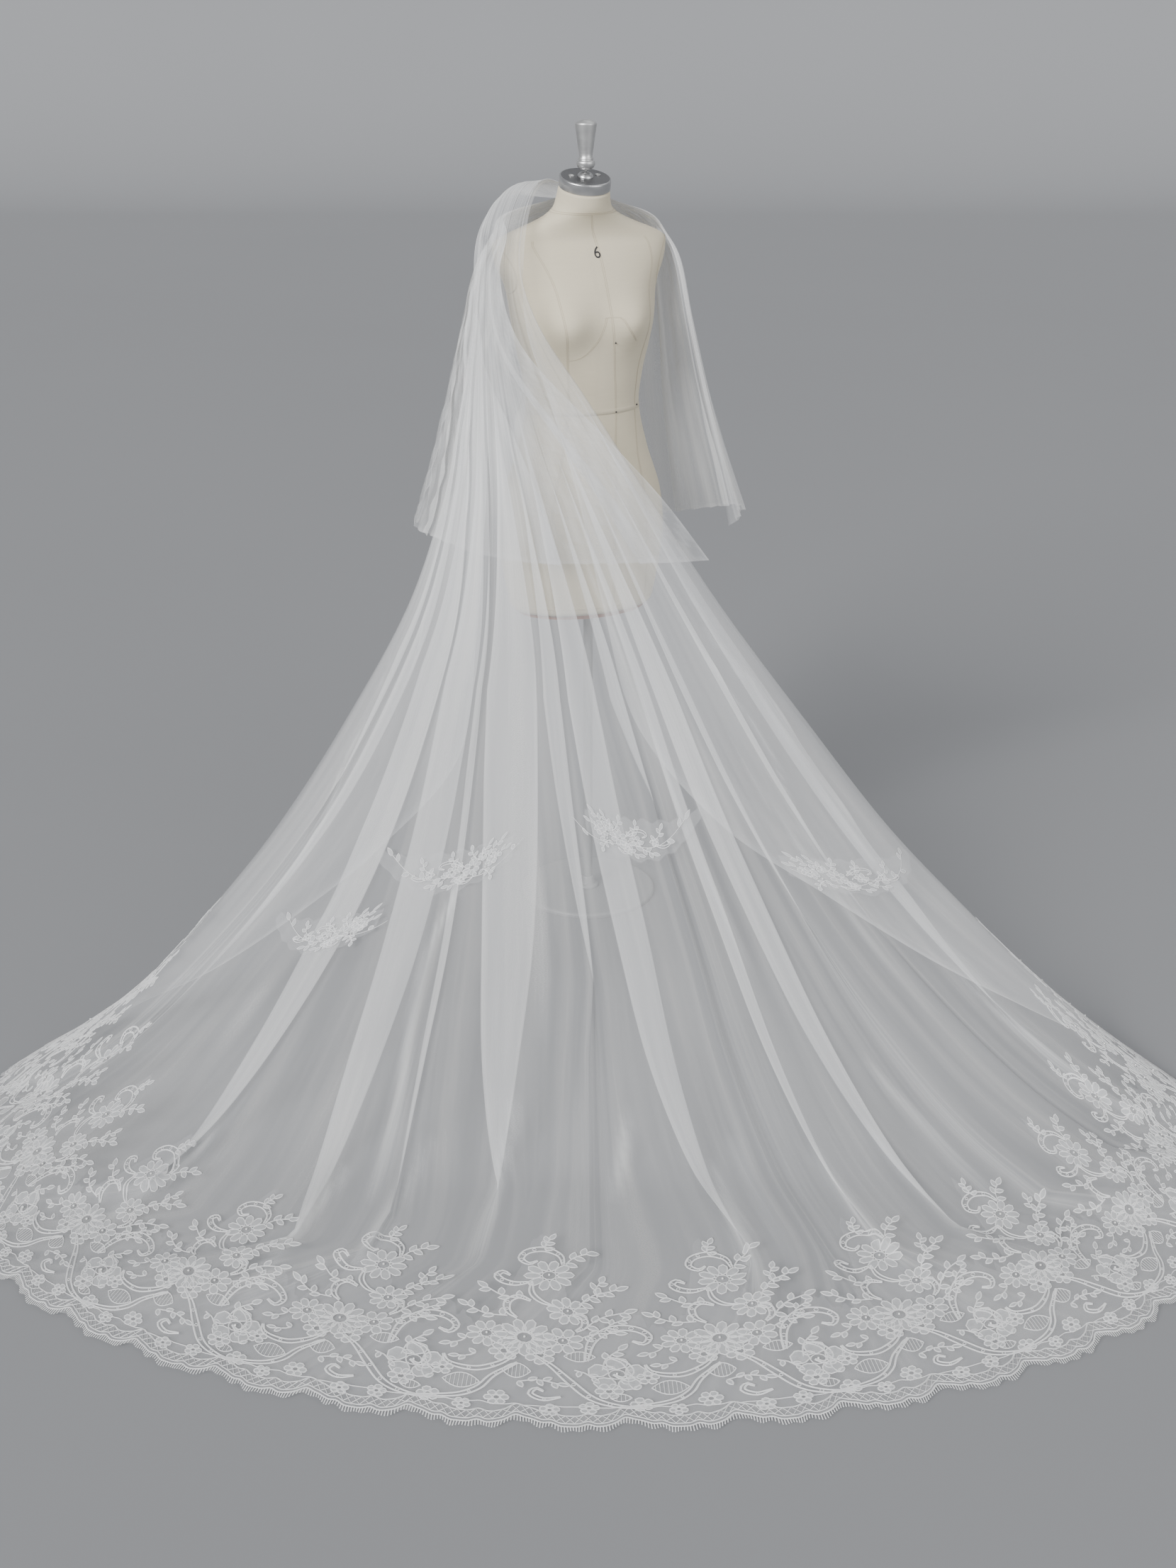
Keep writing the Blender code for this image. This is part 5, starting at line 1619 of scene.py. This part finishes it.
@dataclass
class DressForm:
    """The padded linen torso with its seams, waist tape, pins and size number."""

    sides: int = 112
    rings: int = 130
    smooth_steps: int = 190

    def table(self) -> np.ndarray:
        """The form's sections, smoothed, one row of numbers per level."""
        last = len(FORM_SECTIONS) - 1
        columns = np.array(FORM_SECTIONS, float).T
        return np.array([[smooth_column(c, t) for c in columns] for t in np.linspace(0, last, self.smooth_steps)])

    def surface(self, angle: np.ndarray, level: np.ndarray, lift: float = 0.0) -> np.ndarray:
        """Points of the torso at some angles (0 is its front) and heights, lifted off it."""
        angle, level = np.broadcast_arrays(np.asarray(angle, float), np.asarray(level, float))
        table = self.table()
        r = {name: np.interp(level, table[:, 0], table[:, i]) for i, name in enumerate(FORM_COLUMNS)}
        across, along = np.sin(angle), np.cos(angle)
        x = (r["half_width"] + lift) * across
        y = -(np.where(along > 0, r["front_depth"], r["back_depth"]) + lift) * along
        for side in (-1, 1):
            away = ((x - side * BUST_X) / BUST_WIDE) ** 2 + ((level - BUST_Z) / BUST_TALL) ** 2
            y = y - np.where(along > 0, BUST_OUT * np.exp(-away) * np.sqrt(np.maximum(along, 0)), 0)
        lean = np.maximum(level - NECK_LOW_Z, 0) / (FORM_SECTIONS[-1][0] - NECK_LOW_Z)
        z = level + y * math.tan(NECK_LEAN) * lean
        y = y + r["shift_y"]
        c, s = math.cos(FORM_TURN), math.sin(FORM_TURN)
        return np.stack((FORM_X + x * c - y * s, x * s + y * c, z), axis=-1)

    def angle_at(self, x: float, level: float) -> float:
        """The angle of the front where the form is x metres from its middle."""
        half = float(np.interp(level, [row[0] for row in FORM_SECTIONS], [row[1] for row in FORM_SECTIONS]))
        return math.asin(max(min(x / half, 0.98), -0.98))

    def angle_for(self, x: float, level: float) -> float:
        """The angle of the front where the form lies at x in the world."""
        turn = np.linspace(-1.2, 1.1, 60)
        return float(np.interp(x, self.surface(turn, np.full_like(turn, level))[:, 0], turn))

    def torso(self) -> bpy.types.Object:
        """Builds the padded body."""
        levels = np.linspace(FORM_SECTIONS[0][0], FORM_SECTIONS[-1][0], self.rings)
        angle = np.linspace(0, 2 * math.pi, self.sides, endpoint=False)
        points = np.array([self.surface(angle, np.full_like(angle, level)) for level in levels])
        faces = []
        for ring in range(self.rings - 1):
            for i in range(self.sides):
                j = (i + 1) % self.sides
                low, high = ring * self.sides, (ring + 1) * self.sides
                faces.append((low + i, low + j, high + j, high + i))
        faces.append(tuple(range(self.sides))[::-1])
        faces.append(tuple((self.rings - 1) * self.sides + i for i in range(self.sides)))
        piece = mesh_piece("form_torso", points.reshape(-1, 3), faces, Finish.LINEN)
        spot = np.stack(np.broadcast_arrays(angle[None, :] * 0.14, levels[:, None]), axis=-1)
        give_uv(piece, spot.reshape(-1, 2))
        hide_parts("form_body")
        return piece

    def strip(self, path: list[tuple[float, float]], width: float, rise: float) -> tuple[np.ndarray, list]:
        """A raised strip along a path of (angle, height) points.

        Args:
            path: Where the strip's middle runs.
            width: How wide it is.
            rise: How far its middle stands off the linen.
        Returns:
            Its points and faces.
        """
        line = smooth_path([(a * MEAN_RADIUS, z) for a, z in path], 0.008)
        side = left_of(line) * width / 2
        rows = []
        for sign, lift in ((-1, 0.0002), (-0.5, rise), (0.5, rise), (1, 0.0002)):
            spot = line + side * sign
            rows.append(self.surface(spot[:, 0] / MEAN_RADIUS, spot[:, 1], lift))
        return np.concatenate(rows), grid_faces(4, len(line), True).tolist()

    def seams(self) -> bpy.types.Object:
        """Builds the stitched seams of the linen cover."""
        paths = [[(self.angle_for(x, z), z) for x, z in line] for line in FRONT_SEAMS]
        for side in (-1, 1):
            paths.append([(math.pi - self.angle_at(side * x * 0.8, z), z) for x, z in BACK_SEAM])
            paths.append([(side * math.pi / 2, z) for z in (0.690, 0.9, 1.1, 1.25, 1.335)])
            paths.append([(side * math.pi / 2, z) for z in (1.437, 1.452, 1.466, 1.484)])
            turn = np.linspace(0, 2 * math.pi, 15)
            paths.append([(side * (math.pi / 2 + 0.50 * math.cos(t)), 1.387 + 0.050 * math.sin(t)) for t in turn])
        paths.append([(math.pi, z) for z in (0.690, 0.9, 1.1, 1.3, 1.42, 1.486)])
        shifts = (-0.0014 / MEAN_RADIUS, 0.0014 / MEAN_RADIUS)
        strips = [([(a + shift, z) for a, z in path], 0.0010, 0.0005) for path in paths for shift in shifts]
        turn = np.linspace(0, 2 * math.pi, 49)
        strips += [([(t, level) for t in turn], 0.0014, 0.0008) for level in (1.489, 1.4925, 0.700)]
        points, faces, total = [], [], 0
        for strip in strips:
            made, new = self.strip(*strip)
            points.append(made)
            faces += [[i + total for i in face] for face in new]
            total += len(made)
        piece = mesh_piece("form_seams", np.concatenate(points), faces, Finish.THREAD)
        give_uv(piece, np.concatenate(points)[:, (0, 2)])
        return piece

    def tape(self) -> bpy.types.Object:
        """Builds the waist tape."""
        turn = np.linspace(0, 2 * math.pi, 121)
        points = np.array([self.surface(turn, np.full_like(turn, WAIST_Z + up), lift) for up, lift in TAPE_SECTION])
        count = len(TAPE_SECTION)
        piece = mesh_piece("waist_tape", points.reshape(-1, 3), grid_faces(count, len(turn)), Finish.TAPE)
        along, up = np.meshgrid(turn * MEAN_RADIUS, np.linspace(0, 0.012, count))
        give_uv(piece, np.stack((along, up), axis=-1).reshape(-1, 2))
        return piece

    def pins(self) -> bpy.types.Object:
        """Builds the dark ball-headed pins in the linen."""
        angles = np.array([self.angle_for(x, z) for x, z in PIN_PLACES])
        spots = self.surface(angles, np.array([z for _, z in PIN_PLACES]), 0.0018)
        piece = pearl_piece("linen_pins", spots, 0.0020, Finish.INK)
        return piece

    def number(self) -> bpy.types.Object:
        """Builds the printed size number on the chest."""
        clear_selection()
        bpy.ops.object.text_add()
        text = bpy.context.object
        text.data.body = "6"
        text.data.size = 0.030
        text.data.align_x = "CENTER"
        text.data.align_y = "CENTER"
        bpy.ops.object.convert(target="MESH")
        flat = np.array([vert.co for vert in text.data.vertices])
        faces = [list(polygon.vertices) for polygon in text.data.polygons]
        bpy.data.objects.remove(text, do_unlink=True)
        level = 1.414 + flat[:, 1]
        angle = np.array([self.angle_at(0.010 + x, 1.414) for x in flat[:, 0]])
        piece = mesh_piece("size_number", self.surface(angle, level, 0.0012), faces, Finish.INK, False)
        return piece

    def build(self) -> list[bpy.types.Object]:
        """Builds the torso and what is sewn to it."""
        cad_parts["form_rim"].material_slots[0].material = Finish.WOOD.get()
        return [self.torso(), self.seams(), self.tape(), self.pins(), self.number()]


@dataclass
class NeckCap:
    """The steel cap on the neck, its two screws, its boss and the turned knob on top."""

    radius: float = 0.051
    height: float = 0.021
    clear: float = 0.0005
    knob_clear: float = 0.0008
    gap: float = 0.0003
    knob_rings: tuple = (
        (0.0020, 0.0), (0.0045, 0.0028), (0.0090, 0.0038), (0.0130, 0.0055), (0.0158, 0.0080), (0.0175, 0.0110),
        (0.0184, 0.0142), (0.0184, 0.0165), (0.0178, 0.0186), (0.0165, 0.0200), (0.0150, 0.0206), (0.0142, 0.0210),
        (0.0140, 0.0216), (0.0148, 0.0226), (0.0150, 0.0235), (0.0147, 0.0246), (0.0136, 0.0262), (0.0130, 0.0280),
        (0.0133, 0.0330), (0.0150, 0.0430), (0.0175, 0.0610), (0.0200, 0.0780), (0.0211, 0.0855), (0.0213, 0.0870),
        (0.0211, 0.0882), (0.0205, 0.0892), (0.0180, 0.0912), (0.0120, 0.0940), (0.0060, 0.0955), (0.0010, 0.0960),
    )
    boss_rings: tuple = (
        (0.0160, 0.0), (0.0158, 0.0012), (0.0150, 0.0028), (0.0134, 0.0046), (0.0112, 0.0062), (0.0080, 0.0076),
        (0.0045, 0.0084), (0.0010, 0.0085),
    )

    def matrix(self) -> Matrix:
        """Where the tilted cap stands."""
        table = dict(zip(FORM_COLUMNS, FORM_SECTIONS[-1]))
        c, s = math.cos(FORM_TURN), math.sin(FORM_TURN)
        spot = (FORM_X - table["shift_y"] * s, table["shift_y"] * c, table["z"] + self.clear)
        return Matrix.Translation(spot) @ Matrix.Rotation(FORM_TURN, 4, "Z") @ Matrix.Rotation(NECK_LEAN, 4, "X")

    def turn(self, name: str, rings: tuple, segments: int, finish: Finish) -> bpy.types.Object:
        """Models a turned piece by extruding and scaling a disc, ring after ring.

        Args:
            name: The piece's name.
            rings: Its (radius, height) rings from the bottom.
            segments: How many sides it has.
            finish: Its finish.
        Returns:
            The piece, standing on the origin.
        """
        clear_selection()
        radius, height = rings[0]
        bpy.ops.mesh.primitive_circle_add(vertices=segments, radius=radius, fill_type="NGON", location=(0, 0, height))
        piece = bpy.context.object
        piece.name = piece.data.name = name
        bpy.ops.object.mode_set(mode="EDIT")
        bpy.ops.mesh.select_all(action="SELECT")
        for wide, tall in rings[1:]:
            bpy.ops.mesh.extrude_region_move(TRANSFORM_OT_translate={"value": (0, 0, tall - height)})
            bpy.ops.transform.resize(value=(wide / radius, wide / radius, 1), center_override=(0, 0, tall))
            radius, height = wide, tall
        bpy.ops.mesh.select_all(action="SELECT")
        bpy.ops.mesh.normals_make_consistent(inside=False)
        bpy.ops.object.mode_set(mode="OBJECT")
        bpy.ops.object.transform_apply(location=True, rotation=True, scale=True)
        bpy.ops.object.shade_smooth_by_angle(angle=math.radians(38))
        piece.data.materials.clear()
        piece.data.materials.append(finish.get())
        return piece

    def settle(self, piece: bpy.types.Object, matrix: Matrix) -> bpy.types.Object:
        """Moves a piece's own points to their place."""
        piece.data.transform(matrix)
        piece.data.update()
        return piece

    def screw(self, number: int, across: float) -> bpy.types.Object:
        """Models one screw head, a flat disc with a two-step round recess."""
        clear_selection()
        bpy.ops.mesh.primitive_cylinder_add(vertices=32, radius=0.0052, depth=0.0016, location=(0, 0, 0.0008))
        piece = bpy.context.object
        piece.name = piece.data.name = f"cap_screw_{number}"
        bpy.ops.object.mode_set(mode="EDIT")
        bpy.ops.mesh.select_all(action="DESELECT")
        bpy.ops.object.mode_set(mode="OBJECT")
        for polygon in piece.data.polygons:
            polygon.select = polygon.normal.z > 0.9
        bpy.ops.object.mode_set(mode="EDIT")
        bpy.ops.mesh.select_mode(type="FACE")
        bpy.ops.mesh.inset(thickness=0.0012)
        bpy.ops.mesh.extrude_region_move(TRANSFORM_OT_translate={"value": (0, 0, -0.0004)})
        bpy.ops.mesh.inset(thickness=0.0018)
        bpy.ops.mesh.extrude_region_move(TRANSFORM_OT_translate={"value": (0, 0, -0.0007)})
        bpy.ops.object.mode_set(mode="OBJECT")
        bpy.ops.object.transform_apply(location=True, rotation=True, scale=True)
        bpy.ops.object.shade_smooth_by_angle(angle=math.radians(30))
        piece.data.materials.append(Finish.SILVER.get())
        spot = Matrix.Translation((across, 0.004, self.height + self.gap))
        self.settle(piece, self.matrix() @ spot)
        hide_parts(("cap_screw_left", "cap_screw_right")[number - 1])
        return piece

    def build(self) -> list[bpy.types.Object]:
        """Builds the cap, the screws, the boss and the knob."""
        r, h = self.radius, self.height
        cap_rings = (
            (r - 0.0012, 0.0), (r - 0.0003, 0.0004), (r, 0.0012), (r, h - 0.0030), (r - 0.0004, h - 0.0016),
            (r - 0.0014, h - 0.0007), (r - 0.0030, h - 0.0002), (r - 0.0042, h), (0.030, h), (0.004, h),
        )
        cap = self.settle(self.turn("steel_neck_cap", cap_rings, 96, Finish.STEEL), self.matrix())
        # Painted shade: the flat top faces of the one steel cap take the darker copy of its steel, standing in for the
        # dark reflection on the top.
        cap.data.materials.append(Finish.DARK_STEEL.get())
        axis = self.matrix().to_3x3() @ Vector((0, 0, 1))
        centre = self.matrix().translation
        for polygon in cap.data.polygons:
            if (polygon.center - centre).dot(axis) > h - 0.0004:
                polygon.material_index = 1
        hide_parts("neck_cap")
        lifted = self.matrix() @ Matrix.Translation((0, 0, h + self.gap))
        boss = self.settle(self.turn("knob_pivot_boss", self.boss_rings, 48, Finish.STEEL), lifted)
        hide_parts("knob_boss")
        top = (lifted @ Matrix.Translation((0, 0, self.boss_rings[-1][1]))).translation
        stand = Matrix.Translation(top + Vector((0, 0, self.knob_clear)))
        knob = self.settle(self.turn("turned_knob", self.knob_rings, 72, Finish.SILVER), stand)
        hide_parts("knob")
        pieces = [cap, boss, knob, self.screw(1, -0.028), self.screw(2, 0.028)]
        return pieces


@dataclass
class Gathering:
    """The comb at the back of the neck and the ruched band that both tiers are sewn to."""

    neck_x: float = -0.012
    inner: float = 0.0612
    outer: float = 0.0671
    low: float = 1.5030
    high: float = 1.5098
    start_deg: float = 140
    end_deg: float = 215
    teeth: int = 15

    def spot(self, degrees: float, radius: float, height: float) -> tuple[float, float, float]:
        """A place round the neck."""
        angle = math.radians(degrees)
        return self.neck_x - radius * math.sin(angle), -radius * math.cos(angle), height

    def band(self) -> bpy.types.Object:
        """Builds the ruched band as a padded roll."""
        count, round_count = 160, 14
        points = []
        for i in range(count + 1):
            share = i / count
            degrees = self.start_deg + (self.end_deg - self.start_deg) * share
            pinch = 1 - 0.10 * abs(math.sin(share * 31 * math.pi)) - 0.6 * (1 if i in (0, count) else 0)
            for k in range(round_count):
                turn = 2 * math.pi * k / round_count
                radius = (self.inner + self.outer) / 2 + math.cos(turn) * (self.outer - self.inner) / 2 * pinch
                height = (self.low + self.high) / 2 + math.sin(turn) * (self.high - self.low) / 2 * pinch
                points.append(self.spot(degrees, radius, height))
        faces = []
        for i in range(count):
            for k in range(round_count):
                j = (k + 1) % round_count
                a, b = i * round_count, (i + 1) * round_count
                faces.append((a + k, b + k, b + j, a + j))
        faces.append(tuple(range(round_count)))
        faces.append(tuple(count * round_count + k for k in range(round_count))[::-1])
        piece = mesh_piece("ruched_gather_band", np.array(points), faces, Finish.LACE_FILL)
        give_uv(piece, np.array(points)[:, (0, 2)])
        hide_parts("gather_band")
        return piece

    def comb(self) -> bpy.types.Object:
        """Models the comb's teeth, one tooth copied along the bar."""
        clear_selection()
        teeth = []
        for k in range(self.teeth):
            bpy.ops.mesh.primitive_cylinder_add(vertices=10, radius=0.0007, depth=0.022, location=(0, 0, -0.011))
            tooth = bpy.context.object
            bpy.ops.object.mode_set(mode="EDIT")
            bpy.ops.mesh.select_all(action="SELECT")
            bpy.ops.mesh.subdivide(number_cuts=1)
            bpy.ops.object.mode_set(mode="OBJECT")
            bpy.ops.object.transform_apply(location=True, rotation=True, scale=True)
            degrees = 152 + 56 * k / (self.teeth - 1)
            tooth.data.transform(Matrix.Translation(self.spot(degrees, 0.0584, 1.5068)))
            teeth.append(tooth)
        clear_selection()
        for tooth in teeth:
            tooth.select_set(True)
        bpy.context.view_layer.objects.active = teeth[0]
        bpy.ops.object.join()
        piece = bpy.context.object
        piece.name = piece.data.name = "comb_teeth"
        bpy.ops.object.shade_smooth()
        piece.data.materials.append(Finish.SILVER.get())
        return piece

    def build(self) -> list[bpy.types.Object]:
        """Builds the band and the comb's teeth."""
        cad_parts["comb"].material_slots[0].material = Finish.SILVER.get()
        return [self.band(), self.comb()]


@dataclass
class Stand:
    """The plain painted pole and base."""

    foot_z: float = 0.0104
    top_z: float = 0.6508
    foot_rings: tuple = (
        (0.024, 0.0), (0.024, 0.0030), (0.0225, 0.0052), (0.0180, 0.0075), (0.0150, 0.0140), (0.0140, 0.0230),
        (0.0125, 0.0250), (0.0103, 0.0255),
    )
    top_rings: tuple = (
        (0.0103, 0.0), (0.0130, 0.0006), (0.0150, 0.0050), (0.0170, 0.0150), (0.0260, 0.0210), (0.0270, 0.0235),
        (0.0260, 0.0248),
    )

    def build(self) -> list[bpy.types.Object]:
        """Gives the stand's own solids their paint, and adds the pole's collars."""
        for name in ("stand_pole", "stand_base"):
            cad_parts[name].material_slots[0].material = Finish.PAINT.get()
        cap = NeckCap()
        foot = cap.turn("pole_foot_collar", self.foot_rings, 48, Finish.PAINT)
        cap.settle(foot, Matrix.Translation((0, 0, self.foot_z)))
        top = cap.turn("pole_top_collar", self.top_rings, 48, Finish.PAINT)
        cap.settle(top, Matrix.Translation((0, 0, self.top_z)))
        return [foot, top]


@dataclass
class Studio:
    """The floor, the lights, the world and the camera."""

    lens: float = 42.3
    camera_spot: tuple = (0.0, -3.78, 1.88)
    pitch_deg: float = 23.2

    def floor(self) -> None:
        """Lays the floor, which sweeps up into a far backdrop."""
        turn = np.linspace(0, math.pi / 2, 13)
        profile = [(-30.0, 0.0), *zip(14 + 4 * np.sin(turn), 4 - 4 * np.cos(turn)), (18.0, 26.0)]
        points = [(x, y, z - 0.0004) for y, z in profile for x in (-40.0, 40.0)]
        faces = [(2 * i, 2 * i + 1, 2 * i + 3, 2 * i + 2) for i in range(len(profile) - 1)]
        mesh_piece("studio_sweep", np.array(points), faces, Finish.FLOOR)

    def light(self, name: str, spot: tuple, spread_deg: float, power: float) -> None:
        """Adds a wide soft light that shines from a side of the object."""
        lamp = bpy.data.lights.new(name, "SUN")
        lamp.angle, lamp.energy = math.radians(spread_deg), power
        holder = add_object(name, lamp)
        holder.location = spot
        holder.rotation_euler = (-Vector(spot)).to_track_quat("-Z", "Y").to_euler()

    def build(self) -> None:
        """Sets the whole studio up."""
        self.floor()
        self.light("key", (-3.0, -3.9, 2.9), 30, 4.0)
        self.light("fill", (3.6, -3.2, 1.7), 50, 1.2)
        self.light("back", (1.2, 3.0, 3.4), 40, 0.7)
        world = bpy.data.worlds.new("studio_world")
        world.use_nodes = True
        world.node_tree.nodes["Background"].inputs["Color"].default_value = (0.66, 0.67, 0.70, 1)
        world.node_tree.nodes["Background"].inputs["Strength"].default_value = 0.48
        bpy.context.scene.world = world
        camera = bpy.data.cameras.new("photo_camera")
        camera.lens, camera.sensor_width = self.lens, 36
        holder = add_object("photo_camera", camera)
        holder.location = self.camera_spot
        holder.rotation_euler = (math.radians(90 - self.pitch_deg), 0, 0)
        bpy.context.scene.camera = holder


def report(pieces: list[bpy.types.Object]) -> None:
    """Lets each piece ride on the part's one body, and logs it."""
    for piece in pieces:
        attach(piece, "root")
        LOG.info("%s: %d faces", piece.name, len(piece.data.polygons))


def main() -> None:
    """Builds every sub-assembly in order."""
    logging.basicConfig(level=logging.INFO, format="%(name)s %(message)s")
    Studio().build()
    report(Stand().build())
    report(DressForm().build())
    report(NeckCap().build())
    report(Gathering().build())
    short = ShortTier()
    short_cloth = short.build()
    report([short_cloth])
    long = LongTier()
    long.drape()
    hem = HemMap(long)
    long_cloth = long.build(hem)
    lace = LaceHem(hem).build()
    for number in range(1, len(SPRAYS) + 1):
        lace += LaceSpray(long, number).build()
    report([long_cloth, *lace])
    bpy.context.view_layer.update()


if __name__ == "__main__":
    main()
